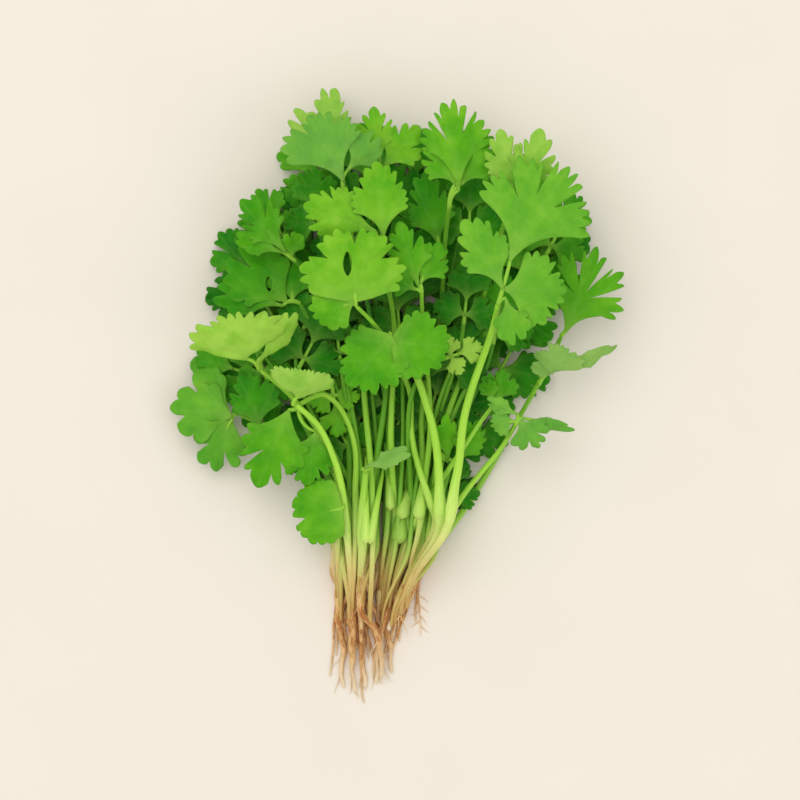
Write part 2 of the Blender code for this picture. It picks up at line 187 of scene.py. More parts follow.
# %% [markdown]
# ## Stalk skin
#
# A coriander leaf stalk is a juicy green rod with fine ribs along it. Its skin, the epidermis, is smooth
# and slightly waxy over pale tissue, so it looks moist and lets a little light in. Where it clasps the root
# it was kept from the sun and is nearly cream. The mesh carries three measures for the finish: how far
# along the stalk a point is, how much painted sunlight or painted shade its colour takes, and a place on
# its skin that joins up all the way round, so that the streaks run along the ribs and have no seam.

# %% The finish of the stalks
STREAK_WIDTH = 0.55 * MM  # across one pale rib line
STALK_PORE = 0.5 * MM
stalk_skin, tree, surface = start_finish("fresh_stalk_skin")
along, grain, tone = (add(tree, "ShaderNodeAttribute", attribute_name=label)
                      for label in ("along", "grain", "tone"))
streaks = add(tree, "ShaderNodeTexNoise",
              {"Vector": grain.outputs["Vector"], "Scale": 1 / STREAK_WIDTH, "Detail": 3.0})
# The sunlit and shaded ramps are painted light and painted shade: each stalk's tone mixes them, so the stalks
# in front are painted bright and those behind them dark.
sunlit = add(tree, "ShaderNodeValToRGB", {"Fac": along.outputs["Fac"]},
                   [(0.0, "E2BA78"), (0.12, "F0D890"), (0.22, "EEEC98"), (0.31, "DAF580"), (0.42, "BCEC54"),
                    (1.0, "94D436")])
shaded = add(tree, "ShaderNodeValToRGB", {"Fac": along.outputs["Fac"]},
                 [(0.0, "D2A862"), (0.12, "DCC476"), (0.22, "C2CC66"), (0.31, "8EBE46"), (0.45, "519F1A"),
                  (1.0, "2E7F0C")])
green = add(tree, "ShaderNodeMix",
            {0: tone.outputs["Fac"], 6: shaded.outputs["Color"], 7: sunlit.outputs["Color"]},
            data_type="RGBA")
rib = add(tree, "ShaderNodeMapRange", {"Value": streaks.outputs["Fac"], "From Min": 0.35, "From Max": 0.7})
pale = add(tree, "ShaderNodeMix", {0: rib.outputs["Result"], 6: paint("8FC940"), 7: paint("FFFFE4")},
           data_type="RGBA")
streaked = add(tree, "ShaderNodeMix", {0: 0.34, 6: green.outputs[2], 7: pale.outputs[2]},
               data_type="RGBA", blend_type="MULTIPLY")
buried = add(tree, "ShaderNodeMapRange",
             {"Value": along.outputs["Fac"], "From Min": 0.02, "From Max": 0.24, "To Min": 0.62,
              "To Max": 0.0})
soil = add(tree, "ShaderNodeMapRange", {"Value": streaks.outputs["Fac"], "From Min": 0.48, "From Max": 0.60})
soil_share = add(tree, "ShaderNodeMath", {0: buried.outputs["Result"], 1: soil.outputs["Result"]},
                 operation="MULTIPLY")
soiled = add(tree, "ShaderNodeMix",
             {0: soil_share.outputs["Value"], 6: streaked.outputs[2], 7: paint("A8642A")}, data_type="RGBA")
pores = add(tree, "ShaderNodeTexNoise", {"Vector": grain.outputs["Vector"], "Scale": 1 / STALK_PORE})
relief = add(tree, "ShaderNodeBump",
             {"Strength": 0.25, "Distance": 0.15 * MM, "Height": pores.outputs["Fac"]})
gloss = add(tree, "ShaderNodeMapRange", {"Value": streaks.outputs["Fac"], "To Min": 0.34, "To Max": 0.5})
connect(surface, {"Base Color": soiled.outputs[2], "Roughness": gloss.outputs["Result"],
                  "Normal": relief.outputs["Normal"], "IOR": 1.42,  # cell sap behind a thin cuticle
                  "Specular IOR Level": 0.32, "Subsurface Weight": 0.12,
                  "Subsurface Radius": (0.9, 1.0, 0.35), "Subsurface Scale": 0.8 * MM})
print("the stalks' finish has", len(tree.nodes), "nodes")

# %% [markdown]
# ## Where the stalks and roots run
#
# Each solid stalk or root is a tube with rings of eight corners. The middle of each ring is a point of its
# centre line and the ring's size is its thickness. Starting from the ring at one end, the next ring is
# made of the neighbours that haven't been met yet, and so on to the other end. A smooth curve through those
# middles then gives as many stations as a fine tube needs.

# %% Reading a tube's centre line from its solid
RING = 8  # corners round a solid tube
FLAT = 0.99999  # two faces are one flat face when their normals agree by more than this


def end_ring(mesh, first_low):
    """The eight corners of the flat cap at the tube's lower or upper end along Y."""
    caps = []
    for face in mesh.faces:
        flat, waiting = {face}, [face]
        while waiting:
            for edge in waiting.pop().edges:
                for near in edge.link_faces:
                    if near not in flat and near.normal.dot(face.normal) > FLAT:
                        flat.add(near)
                        waiting.append(near)
        corners = {v for f in flat for v in f.verts}
        if len(flat) == RING - 2 and len(corners) == RING:
            caps.append(corners)
    return sorted(caps, key=lambda corners: sum(v.co.y for v in corners), reverse=not first_low)[0]


def centre_line(node, first_low):
    """The middles and radii of a solid tube's rings in metres, from its base or crown to its tip."""
    mesh = bmesh.new()
    mesh.from_mesh(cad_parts[node].data)
    bmesh.ops.remove_doubles(mesh, verts=mesh.verts[:], dist=0.01 * MM)
    mesh.normal_update()
    ring = end_ring(mesh, first_low)
    met = set(ring)
    middles, radii = [], []
    while ring:
        middle_point = sum((v.co for v in ring), Vector()) / len(ring)
        middles.append(np.array(middle_point))
        radii.append(max((v.co - middle_point).length for v in ring))
        ring = {edge.other_vert(v) for v in ring for edge in v.link_edges} - met
        met |= ring
    mesh.free()
    return np.array(middles), np.array(radii)


def smooth_line(points, radii, step):
    """More stations on a smooth curve through the points, about a step apart, with radii to match."""
    gaps = np.linalg.norm(np.diff(points, axis=0), axis=1)
    at = np.concatenate([[0], np.cumsum(gaps)])
    slopes = np.gradient(points, at, axis=0)
    wanted = np.linspace(0, at[-1], max(4, int(at[-1] / step)))
    k = np.clip(np.searchsorted(at, wanted) - 1, 0, len(at) - 2)
    span = (at[k + 1] - at[k])[:, None]
    t = ((wanted - at[k]) / span[:, 0])[:, None]
    line = ((2 * t**3 - 3 * t**2 + 1) * points[k] + (t**3 - 2 * t**2 + t) * span * slopes[k]
            + (3 * t**2 - 2 * t**3) * points[k + 1] + (t**3 - t**2) * span * slopes[k + 1])
    return line, np.interp(wanted, at, radii), wanted


stem_names = sorted(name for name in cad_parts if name.startswith("stem"))
root_names = sorted(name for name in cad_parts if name.startswith("root"))
lines = {name: centre_line(name, first_low=name in stem_names) for name in stem_names + root_names}
print(len(stem_names), "stalks and", len(root_names), "roots, with",
      min(len(p) for p, _ in lines.values()), "to", max(len(p) for p, _ in lines.values()), "rings each")

# %% [markdown]
# ## A tube that can carry ribs
#
# Blender's bevelled curves make round tubes, but a stalk is ribbed and a root is wrinkled, so the tube is
# built ring by ring. Each ring is turned as little as possible from the one before, so the ribs run
# straight and don't wind round. The ends are closed with a small dome.

# %% Building tubes ring by ring
Tube = namedtuple("Tube", "points faces angle station")
STEEP = 0.9  # a line that rises more than this needs another direction to start from


def ring_directions(line):
    """Two directions across each station of a line, turned as little as possible from one to the next."""
    ahead = np.gradient(line, axis=0)
    ahead /= np.linalg.norm(ahead, axis=1)[:, None]
    first = np.cross(ahead[0], (0, 0, 1.0) if abs(ahead[0][2]) < STEEP else (1.0, 0, 0))
    side = [first / np.linalg.norm(first)]
    for direction in ahead[1:]:
        turned_side = side[-1] - direction * (side[-1] @ direction)
        side.append(turned_side / np.linalg.norm(turned_side))
    side = np.array(side)
    return side, np.cross(ahead, side)


def ringed_tube(line, radii, sides, bumps=0.0):
    """A closed tube round a line. The bumps are shares of the radius, for each station and side."""
    side, up = ring_directions(line)
    angle = np.arange(sides) * math.tau / sides
    reach = radii[:, None] * (1 + bumps * np.ones((len(line), sides)))
    rings = (line[:, None, :] + reach[:, :, None] * (np.cos(angle)[None, :, None] * side[:, None, :]
                                                    + np.sin(angle)[None, :, None] * up[:, None, :]))
    points = np.concatenate([rings.reshape(-1, 3), line[:1], line[-1:]])
    k, j = np.meshgrid(np.arange(len(line) - 1), np.arange(sides), indexing="ij")
    here, beside = k * sides + j, k * sides + (j + 1) % sides
    quads = np.stack([here, beside, beside + sides, here + sides], axis=-1).reshape(-1, 4)
    start, end = len(line) * sides, len(line) * sides + 1
    last = (len(line) - 1) * sides
    caps = [(start, (j + 1) % sides, j) for j in range(sides)]
    caps += [(end, last + j, last + (j + 1) % sides) for j in range(sides)]
    angles = np.concatenate([np.tile(angle, len(line)), [0, 0]])
    stations = np.concatenate([np.repeat(np.arange(len(line)), sides), [0, len(line) - 1]])
    return Tube(points, [tuple(q) for q in quads] + caps, angles, stations)


def domed(radii, spacing):
    """The radii drawn in over the last stations at both ends, as a dome."""
    stations = np.arange(len(radii)) * spacing
    left = np.minimum(stations, stations[::-1])
    share = np.clip(left / np.maximum(radii, 1e-6), 0, 1)
    return radii * np.sqrt(np.clip(1 - (1 - share)**2, 0.02, 1))


# %% From points and faces to a piece of the bunch
class Gathering:
    """The points, faces and measures of the parts that make one piece. Its finishes read the measures."""

    def __init__(self, *labels):
        self.points, self.faces, self.finish_of_face = [], [], []
        self.measures = {label: [] for label in labels}

    def add(self, points, faces, finish=0, **values):
        """Adds a part. Each measure is one value for the whole part or one for each point, or else zero."""
        first = len(self.points)
        self.points.extend(points)
        self.faces.extend(tuple(first + corner for corner in face) for face in faces)
        self.finish_of_face.extend([finish] * len(faces))
        for label, listed in self.measures.items():
            shape = (len(points), 3) if label == "grain" else len(points)
            listed.extend(np.broadcast_to(values.get(label, 0.0), shape))

    def piece(self, name, finishes):
        """The smooth mesh piece, with its measures as attributes."""
        mesh = bpy.data.meshes.new(name)
        mesh.from_pydata([tuple(point) for point in self.points], [], self.faces)
        for finish in finishes:
            mesh.materials.append(finish)
        mesh.polygons.foreach_set("material_index", np.array(self.finish_of_face, dtype=np.int32))
        mesh.polygons.foreach_set("use_smooth", [True] * len(mesh.polygons))
        for label, values in self.measures.items():
            values = np.array(values, dtype=np.float32)
            kind, field = ("FLOAT", "value") if values.ndim == 1 else ("FLOAT_VECTOR", "vector")
            mesh.attributes.new(label, kind, "POINT").data.foreach_set(field, values.ravel())
        mesh.update()
        return put_in_scene(name, mesh)


def skin_place(tube, radii, distance, squeeze):
    """A place on the tube's skin for grain: round it as it is, and along it squeezed by that share."""
    r, s = radii[tube.station], distance[tube.station]
    return np.column_stack([np.cos(tube.angle) * r, np.sin(tube.angle) * r, s * squeeze])


# %% [markdown]
# ## The leaf stalks
#
# A coriander leaf stalk is thickest where it clasps the crown: its base is a pale, rounded sheath that
# wraps the next younger stalk. Above that it is nearly even, with seven or so low ribs, and it thins a
# little towards the leaf. So each ring is scaled up near the base, and its radius rises and falls
# seven times round. Below the sheath the stalk runs on, thin and cream, and lies down on a root.

# %% Making the stalks
STALK_SIDES, RIBS, RIB_HEIGHT = 21, 7, 0.035
STALK_STEP = 1.4 * MM
SHEATH_LENGTH = 9 * MM
STALK_SLIMNESS = 0.84  # of the solid's radius
STALK_SWAY, STALK_BEND = 1.1 * MM, 13 * MM
SLIM_WAVE, SLIM_WAVE_LENGTH = 0.04, 11 * MM  # how much the thickness varies along a stalk
STALK_GRAIN = 0.06  # streaks are drawn out along a stalk, because its grain counts only this share of the way
# How swollen each stalk's sheath is, and how pale and sunlit (1) or deep green and shaded (0) the stalk is
# painted.
SHEATH = {22: 0.42, 23: 0.32, 16: 0.20, 20: 0.45, 18: 0.30, 19: 0.45, 10: 0.20, 21: 0.3}
SUNLIT = {16: 1.0, 15: 0.9, 23: 1.0, 22: 0.95, 20: 0.85, 12: 0.6, 11: 0.8, 13: 0.9, 14: 0.8, 21: 0.75,
          18: 0.75, 19: 0.7, 17: 0.7, 10: 0.75, 9: 0.6, 4: 0.6}
SLIGHT_SHEATH, SHADED = 0.08, 0.25  # what the other stalks have
# The measure along a stalk: 0 at its buried end, and so on up to 1 where it is fully green.
YOUNG_START, ABOVE_SHEATH, FULL_GREEN = 0.24, 0.30, 110 * MM
BURIED, BURIED_SPREAD, BURIED_PER_HEIGHT = 19 * MM, 10 * MM, 0.55  # how far a stalk runs on below its base
GOLDEN = 0.618  # multiples of it spread evenly between whole numbers
BESIDE, ON_TOP = 0.22, 0.6  # of the sideways gap to the root, and of the root's thickness, where it ends
LEAVING, ARRIVING = 0.30, (0.0, 0.40, 0.10)  # the holds of the curve down, as shares of the gap
NECK, THINNING = 0.95, 0.42  # the buried part's radius, as shares of the stalk's
root_lines = {name: smooth_line(*lines[name], STALK_STEP) for name in root_names}
stalk_faces, stalk_skin_points = 0, []


def down_to_root(line, radii, number):
    """The stalk's line run on from its base, thinning, until it lies along the nearest root."""
    base = line[0]
    path, thick, _ = min(root_lines.values(),
                         key=lambda root: abs(root[0][0][0] - base[0]) + 0.5 * abs(root[0][0][2] - base[2]))
    reach = BURIED + BURIED_SPREAD * (number * GOLDEN % 1) + BURIED_PER_HEIGHT * base[2]
    at = np.argmin(np.abs(path[:, 1] - base[1] + reach))
    end = path[at] + (BESIDE * (base[0] - path[0][0]), 0.0, ON_TOP * thick[at])
    back = (line[0] - line[3]) / np.linalg.norm(line[0] - line[3])
    gap = np.linalg.norm(end - base)
    t = np.linspace(1, 0, max(4, int(gap / STALK_STEP)), endpoint=False)[:, None]
    run = curve(t, base, base + back * gap * LEAVING, end + np.array(ARRIVING) * gap, end)
    return np.concatenate([run, line]), radii[0] * (NECK - THINNING * t[:, 0])


def make_stalk(name, line, radii, swelling, tone, sides=STALK_SIDES, ribs=RIBS, number=None):
    """A ribbed stalk with a pale sheath near its base. A numbered one runs on down to the root below it."""
    thick = radii * (1 + swelling * np.exp(-((np.arange(len(line)) * STALK_STEP / SHEATH_LENGTH) ** 2)))
    first, start = 0, YOUNG_START
    if number is not None:
        line, buried = down_to_root(line, radii, number)
        first, start = len(buried), 0.0
        thick = np.pad(np.concatenate([buried, thick]), 2, mode="edge")
        thick = np.convolve(thick, np.full(5, 1 / 5), mode="valid")  # evens out the step at its base
    distance = np.arange(len(line)) * STALK_STEP
    shape = domed(thick, STALK_STEP)
    around = np.arange(sides) * math.tau / sides
    tube = ringed_tube(line, shape, sides, RIB_HEIGHT * np.cos(ribs * around))
    tube.points[:, 2] = np.maximum(tube.points[:, 2], CLEARANCE)
    base = distance[first] + 0.1 * MM  # a little past the start, even where nothing is buried
    share = np.interp(distance, [0, base, base + FULL_GREEN], [start, ABOVE_SHEATH, 1])
    stalk = Gathering("along", "grain", "tone")
    stalk.add(tube.points, tube.faces, along=share[tube.station],
              grain=skin_place(tube, shape, distance, STALK_GRAIN), tone=tone)
    piece = stalk.piece(name, [stalk_skin])
    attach(piece, "root")
    stalk_skin_points.append(tube.points)
    return piece


for number, name in enumerate(stem_names):
    line, radii, distance = smooth_line(*lines[name], STALK_STEP)
    slimness = STALK_SLIMNESS * (1 + SLIM_WAVE * np.sin(distance / SLIM_WAVE_LENGTH + number))
    bend = np.sin(distance / (STALK_BEND * (1 + 0.2 * (number % 4))) + 2.4 * number)
    line[:, 0] += STALK_SWAY * bend * np.sin(math.pi * distance / distance[-1])
    own = int(name[-2:])
    piece = make_stalk("stalk_" + name[-2:], line, radii * slimness, SHEATH.get(own, SLIGHT_SHEATH),
                       SUNLIT.get(own, SHADED), number=number)
    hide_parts(name)
    stalk_faces += len(piece.data.polygons)
print(len(stem_names), "stalks with", stalk_faces, "faces")

# %% [markdown]
# Between the grown stalks stand a few young ones. They are short and fat at the base, like small pale bulbs,
# and they lie on top of the sheaf, so each one's height is found from the stalks below it. Their tips dip
# down between the stalks.

# %% Making the young stalks
YOUNG = [  # base x and y, top x and y, base radius, tone, all lengths in millimetres from the middle
    (-2.2, -60.2, -0.5, -32, 3.5, 0.35), (-5.8, -46.6, -6.8, -20, 2.0, 0.60),
    (-1.4, -50.2, 4.4, -28, 3.0, 0.75), (5.4, -50.0, 8.8, -26, 2.6, 0.75),
    (-15.6, -59.6, -15.6, -24, 1.9, 0.9), (-14.0, -59.6, -7.8, -26, 1.8, 0.85),
]
RESTS_AT, FEELS = 0.2, 3 * MM  # the share of its length where it rests, and how far round that it feels
SUNK, PEAK = 0.45, 0.15  # of its radius above what it rests on, and the share of its length that is highest
TIP_DIP, LOWEST = 15 * MM, 3 * MM
BULB = 0.60  # of its length


def top_of_stalks(x, y):
    """How high the stalks reach near a place."""
    everything = np.concatenate(stalk_skin_points)
    near = everything[np.hypot(everything[:, 0] - x, everything[:, 1] - y) < FEELS]
    return near[:, 2].max() if len(near) else 0.0


resting = [top_of_stalks(middle.x + (x0 + (x1 - x0) * RESTS_AT) * MM,
                         middle.y + (y0 + (y1 - y0) * RESTS_AT) * MM)
           for x0, y0, x1, y1, _, _ in YOUNG]
for k, ((x0, y0, x1, y1, thick, tone), under) in enumerate(zip(YOUNG, resting)):
    t = np.linspace(0, 1, max(8, int(math.hypot(x1 - x0, y1 - y0) * MM / STALK_STEP)))
    height = under + (thick * SUNK - 2.0 * np.abs(t - PEAK)) * MM - TIP_DIP * t**2
    line = np.column_stack([middle.x + (x0 + (x1 - x0) * t) * MM, middle.y + (y0 + (y1 - y0) * t) * MM,
                            np.maximum(height, LOWEST)])
    radii = (1.0 + (thick - 1.0) * np.exp(-((t / BULB) ** 2)) - 0.5 * t) * MM
    make_stalk(f"young_stalk_{k + 1}", line, radii, 0.0, tone)
print(len(YOUNG), "young stalks rest at heights of", [round(h / MM, 1) for h in resting], "mm")

# %% [markdown]
# ## Root skin
#
# A washed coriander root is a thin parsnip-like taproot. Its skin, the periderm, is dry and matt. It is
# olive cream at the crown, tan and rust brown in the middle where soil has stained it, and pale again at
# its thin young tip. Fine wrinkles ring it. The colour follows the length, with brown blotches a few
# millimetres long, and the wrinkles are a bump about half a millimetre apart.

# %% The finish of the roots
BLOTCH, WRINKLE = 2.2 * MM, 0.6 * MM
root_skin, tree, surface = start_finish("washed_root_skin")
along, grain, tone = (add(tree, "ShaderNodeAttribute", attribute_name=label)
                      for label in ("along", "grain", "tone"))
blotches = add(tree, "ShaderNodeTexNoise",
               {"Vector": grain.outputs["Vector"], "Scale": 1 / BLOTCH, "Detail": 4.0, "Roughness": 0.65})
length_brown = add(tree, "ShaderNodeValToRGB", {"Fac": along.outputs["Fac"]},
                   [(0.0, "D2D07A"), (0.12, "EADA92"), (0.32, "EED298"), (0.52, "EAC07C"), (0.74, "E8BE80"),
                    (1.0, "F2E2BE")])
soil = add(tree, "ShaderNodeValToRGB", {"Fac": along.outputs["Fac"]},
           [(0.10, "404040"), (0.42, "FFFFFF"), (0.72, "E0E0E0"), (1.0, "303030")])
blotchy = add(tree, "ShaderNodeMapRange",
              {"Value": blotches.outputs["Fac"], "From Min": 0.46, "From Max": 0.58, "To Max": 0.9})
stain = add(tree, "ShaderNodeMath", {0: blotchy.outputs["Result"], 1: soil.outputs["Color"]},
            operation="MULTIPLY")
stained = add(tree, "ShaderNodeMix", {0: stain.outputs["Value"], 6: length_brown.outputs["Color"],
                                      7: paint("A0541C")}, data_type="RGBA")
toned = add(tree, "ShaderNodeMix", {0: tone.outputs["Fac"], 6: stained.outputs[2], 7: paint("A85F2C")},
            data_type="RGBA")
wrinkles = add(tree, "ShaderNodeTexNoise",
               {"Vector": grain.outputs["Vector"], "Scale": 1 / WRINKLE, "Detail": 2.0})
relief = add(tree, "ShaderNodeBump",
             {"Strength": 0.6, "Distance": 0.25 * MM, "Height": wrinkles.outputs["Fac"]})
dryness = add(tree, "ShaderNodeMapRange", {"Value": blotches.outputs["Fac"], "To Min": 0.6, "To Max": 0.85})
connect(surface, {"Base Color": toned.outputs[2], "Roughness": dryness.outputs["Result"],
                  "Normal": relief.outputs["Normal"], "IOR": 1.45,  # dry cork
                  "Specular IOR Level": 0.3})
print("the roots' finish has", len(tree.nodes), "nodes")

# %% [markdown]
# ## The roots
#
# A root is never an even rod: it swells and pinches, bends a little, and side roots leave small knobs on
# it. Noise shifts each station sideways by a millimetre or so and swells each ring. The table is flat, so
# no point of a root may go below it.

# %% Making the taproots
ROOT_SIDES, ROOT_STEP = 16, 0.9 * MM
WANDER, WANDER_LENGTH = 1.6 * MM, 8 * MM
SWELL, SWELL_LENGTH = 0.32, 5 * MM  # of the radius
DENT, DENT_LENGTH, DENTS_ROUND = 0.10, 2.2 * MM, 1.3
CROWN_REACH = 6.0 * MM  # how far each root runs on up between the stalks that it feeds
CROWN_STEPS, CROWN_SWELL = (1.0, 0.66, 0.33), (0.8, 1.0, 1.1)  # shares of that reach, and of the radius
SLIMNESS = 0.94  # of the solid's radius, which holds the root and its hairs
chance = np.random.default_rng(7)


def gnarled(values, size, seed):
    """Smooth noise between -1 and 1 for each value of a length."""
    return np.array([noise.noise(Vector((v / size, seed * 7.3, 0.5))) for v in values])


root_paths = {}
for number, name in enumerate(root_names):
    line, radii, distance = smooth_line(*lines[name], ROOT_STEP)
    for axis in (0, 1):
        line[:, axis] += WANDER * gnarled(distance, WANDER_LENGTH, number * 3 + axis)
    radii = SLIMNESS * radii * (1 + SWELL * gnarled(distance, SWELL_LENGTH, number + 40))
    crown = line[0] + np.array([[0, CROWN_REACH * s, -0.5 * MM * s] for s in CROWN_STEPS])
    line = np.concatenate([crown, line])
    radii = np.concatenate([radii[0] * np.array(CROWN_SWELL), radii])
    distance = np.concatenate([np.linspace(0, CROWN_REACH, 3, endpoint=False), distance + CROWN_REACH])
    radii = domed(radii, ROOT_STEP)
    root_paths[name] = (line, radii)
    around = np.arange(ROOT_SIDES) * math.tau / ROOT_SIDES
    bumps = DENT * np.array([[noise.noise(Vector((math.cos(a) * DENTS_ROUND + number * 5,
                                                  math.sin(a) * DENTS_ROUND, s / DENT_LENGTH)))
                              for a in around] for s in distance])
    tube = ringed_tube(line, radii, ROOT_SIDES, bumps)
    tube.points[:, 2] = np.maximum(tube.points[:, 2], CLEARANCE)
    taproot = Gathering("along", "grain", "tone")
    taproot.add(tube.points, tube.faces, along=(distance / distance[-1])[tube.station],
                grain=skin_place(tube, radii, distance, 0.30), tone=0.02 + 0.06 * (number % 3))
    piece = taproot.piece("taproot_" + name[-2:], [root_skin])
    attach(piece, "root")
    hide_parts(name)
print(len(root_names), "taproots of", ROOT_SIDES, "sides")

# %% [markdown]
# Each crown also sends down a few thinner side roots, a millimetre or two thick. They cross over and
# under the taproots and each other, which ties the roots into one tangle.

# %% Helpers for thinner roots
ROOTLET_STEP = 1.0 * MM
SINKING, LYING = 0.7 * MM, 0.35 * MM  # a thin root sinks until it is below the first, and lies at the second
THREAD_CLEARANCE = 0.05 * MM
BENDING, STEEPENING = 0.23, 0.10  # how far each step goes along the noise, and how much more it falls
LEAN, TANGLE_MIDDLE = 0.016 / MM, -13 * MM  # how much each thin root leans towards the tangle's middle


def drooping_line(start, heading, length, seed, fall_off=0.75, wander=0.26):
    """A thin root's line: it leaves at a height, wanders, and sinks to the table."""
    count = max(6, int(length / ROOTLET_STEP))
    place, line = np.array(start), []
    for k in range(count):
        line.append(place.copy())
        heading += wander * noise.noise(Vector((k * BENDING, seed * 3.1, 0.0)))
        fall = -min(fall_off, STEEPENING * k) * ROOTLET_STEP if place[2] > SINKING else 0.0
        place = place + np.array([math.sin(heading), math.cos(heading), 0]) * ROOTLET_STEP + (0, 0, fall)
        place[2] = max(place[2], LYING)
    return np.array(line)


def leaving(k, along, spread, height):
    """Where thin root k leaves its taproot: its start, its heading and the share along. Three draws."""
    line, radii = root_paths[root_names[k % len(root_names)]]
    station = int(len(line) * chance.uniform(*along))
    inward = LEAN * (line[station][0] - middle.x - TANGLE_MIDDLE)
    heading = math.pi + inward + chance.uniform(-spread, spread)
    return line[station] + (0, 0, chance.uniform(*height) * radii[station]), heading, station / len(line)


class Threads(Gathering):
    """Many tapering threads that are gathered into one piece."""

    def __init__(self, sides):
        super().__init__("along", "grain", "tone")
        self.sides = sides

    def add_thread(self, line, thick, thin, tone, start_along, lumps=0.0):
        """Adds one thread that thins along its line."""
        share = np.linspace(0, 1, len(line))
        distance = share * len(line) * ROOTLET_STEP
        radii = thick + (thin - thick) * share**0.7
        radii = radii * (1 + lumps * gnarled(distance, 4 * MM, len(self.points)))
        tube = ringed_tube(line, domed(radii, ROOTLET_STEP), self.sides)
        tube.points[:, 2] = np.maximum(tube.points[:, 2], THREAD_CLEARANCE)
        self.add(tube.points, tube.faces, along=(start_along + (1 - start_along) * share)[tube.station],
                 grain=skin_place(tube, radii, distance, 0.5), tone=tone)

    def hand_over(self, name):
        """The gathered threads as one piece of the bunch."""
        made = self.piece(name, [root_skin])
        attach(made, "root")
        print(name, "has", len(self.faces), "faces")


# %% Making the side roots
SIDE_ROOTS = 32
side_roots = Threads(sides=12)
for k in range(SIDE_ROOTS):
    start, heading, _ = leaving(k, along=(0.03, 0.45), spread=0.10, height=(-0.2, 1.0))
    line = drooping_line(start, heading, chance.uniform(26, 50) * MM, k + 60, fall_off=0.30, wander=0.07)
    side_roots.add_thread(line, chance.uniform(0.8, 1.6) * MM, 0.35 * MM, chance.uniform(0.0, 0.25), 0.08,
                          lumps=0.25)
# One short broken root end, near the crowns.
stub = np.array([middle.x + 0.5 * MM, middle.y - 76 * MM, 9.5 * MM])
side_roots.add_thread(drooping_line(stub, math.pi + 0.22, 16 * MM, 91, 0.25, 0.05), 1.5 * MM, 1.3 * MM, 0.55,
                      0.3, 0.2)
side_roots.hand_over("side_roots")

# %% [markdown]
# Side roots as thin as thread leave the taproots along their lower half. They were straight in the soil and
# now lie where they dropped, in loose bends on the table and over the taproots. They all go in one piece.

# %% Making the rootlets
ROOTLETS = 70
rootlets = Threads(sides=6)
for k in range(ROOTLETS):
    start, heading, share = leaving(k, along=(0.25, 0.97), spread=0.32, height=(-0.3, 0.6))
    length = chance.uniform(6, 22) * MM * (1.15 - 0.5 * share)
    rootlets.add_thread(drooping_line(start, heading, length, k), chance.uniform(0.22, 0.42) * MM, 0.10 * MM,
                        chance.uniform(0.0, 0.12), chance.uniform(0.45, 0.9))
# One long rootlet that lies clear of the others, with a tuft of fine hairs.
lone = np.array([middle.x + 6.4 * MM, middle.y - 62 * MM, 4.0 * MM])
rootlets.add_thread(drooping_line(lone, math.pi + 0.02, 38 * MM, 97, 0.2, 0.05), 0.75 * MM, 0.14 * MM,
                    0.0, 0.15)
for k in range(8):
    tuft = lone - (0, (18 + 2 * k) * MM, 3.4 * MM)
    line = drooping_line(tuft, math.pi + 0.9 * (-1)**k, 5 * MM, k)
    rootlets.add_thread(line, 0.2 * MM, 0.08 * MM, 0.1, 0.6)
rootlets.hand_over("rootlets")

# %% [markdown]
# ## Leaf blade
#
# A coriander blade is thin and soft. Its skin, the cuticle, has hardly any wax, so it is matt with a weak
# satin sheen. It is bright yellow-green where it is young and thin, and a deep green where it is older; the
# leaves deep in the pile take the darkest greens, which are painted shade. Light comes through it. Its veins
# are a little paler than the tissue between them, its underside is paler and greyer, and a thin line of light
# tissue runs round its teeth. The mesh carries all of these as measures from 0 to 1, worked out from real
# distances to the veins and to the margin.

# %% The finish of the leaf blades
CELL_PATCH = 11.0 * MM  # from one slightly lighter patch to the next
NET_VEIN = 1.1 * MM  # across one mesh of the finest net of veins
leaf_skin, tree, surface = start_finish("fresh_leaf_blade")
where = add(tree, "ShaderNodeTexCoord")
tone = add(tree, "ShaderNodeAttribute", attribute_name="tone")
patches = add(tree, "ShaderNodeTexNoise",
              {"Vector": where.outputs["Object"], "Scale": 1 / CELL_PATCH, "Detail": 3.0, "Roughness": 0.6})
drift = add(tree, "ShaderNodeMapRange",
            {"Value": patches.outputs["Fac"], "From Min": 0.3, "From Max": 0.7, "To Min": -0.13,
             "To Max": 0.13})
mixed_tone = add(tree, "ShaderNodeMath", {0: tone.outputs["Fac"], 1: drift.outputs["Result"]},
                 operation="ADD")
# The darkest stops of this ramp are painted shade: the colour of the shadowed depths between the leaves,
# given to the leaves that lie deepest in the pile.
green = add(tree, "ShaderNodeValToRGB", {"Fac": mixed_tone.outputs["Value"]},
            [(0.0, "0E5E02"), (0.2, "208A04"), (0.4, "43A70A"), (0.6, "66BF16"), (0.8, "8CD42A"),
             (1.0, "B8E856")])
coloured = green.outputs["Color"]
# Each measure, how strong it shows, and its colour. The underside's is in part on a dull upper side too.
for label, strength, tint in (("vein", 0.14, "B4DB72"), ("base", 0.6, "9BD04B"), ("rim", 0.12, "A9D45C"),
                              ("under", 0.55, "9DC27A")):
    measure = add(tree, "ShaderNodeAttribute", attribute_name=label)
    share = add(tree, "ShaderNodeMath", {0: measure.outputs["Fac"], 1: strength}, operation="MULTIPLY")
    mixed = add(tree, "ShaderNodeMix", {0: share.outputs["Value"], 6: coloured, 7: paint(tint)},
                data_type="RGBA")
    coloured = mixed.outputs[2]
net = add(tree, "ShaderNodeTexVoronoi", {"Vector": where.outputs["Object"], "Scale": 1 / NET_VEIN},
          feature="SMOOTH_F1")
relief = add(tree, "ShaderNodeBump",
             {"Strength": 0.30, "Distance": 0.12 * MM, "Height": net.outputs["Distance"]}, invert=True)
satin = add(tree, "ShaderNodeMapRange", {"Value": patches.outputs["Fac"], "To Min": 0.50, "To Max": 0.66})
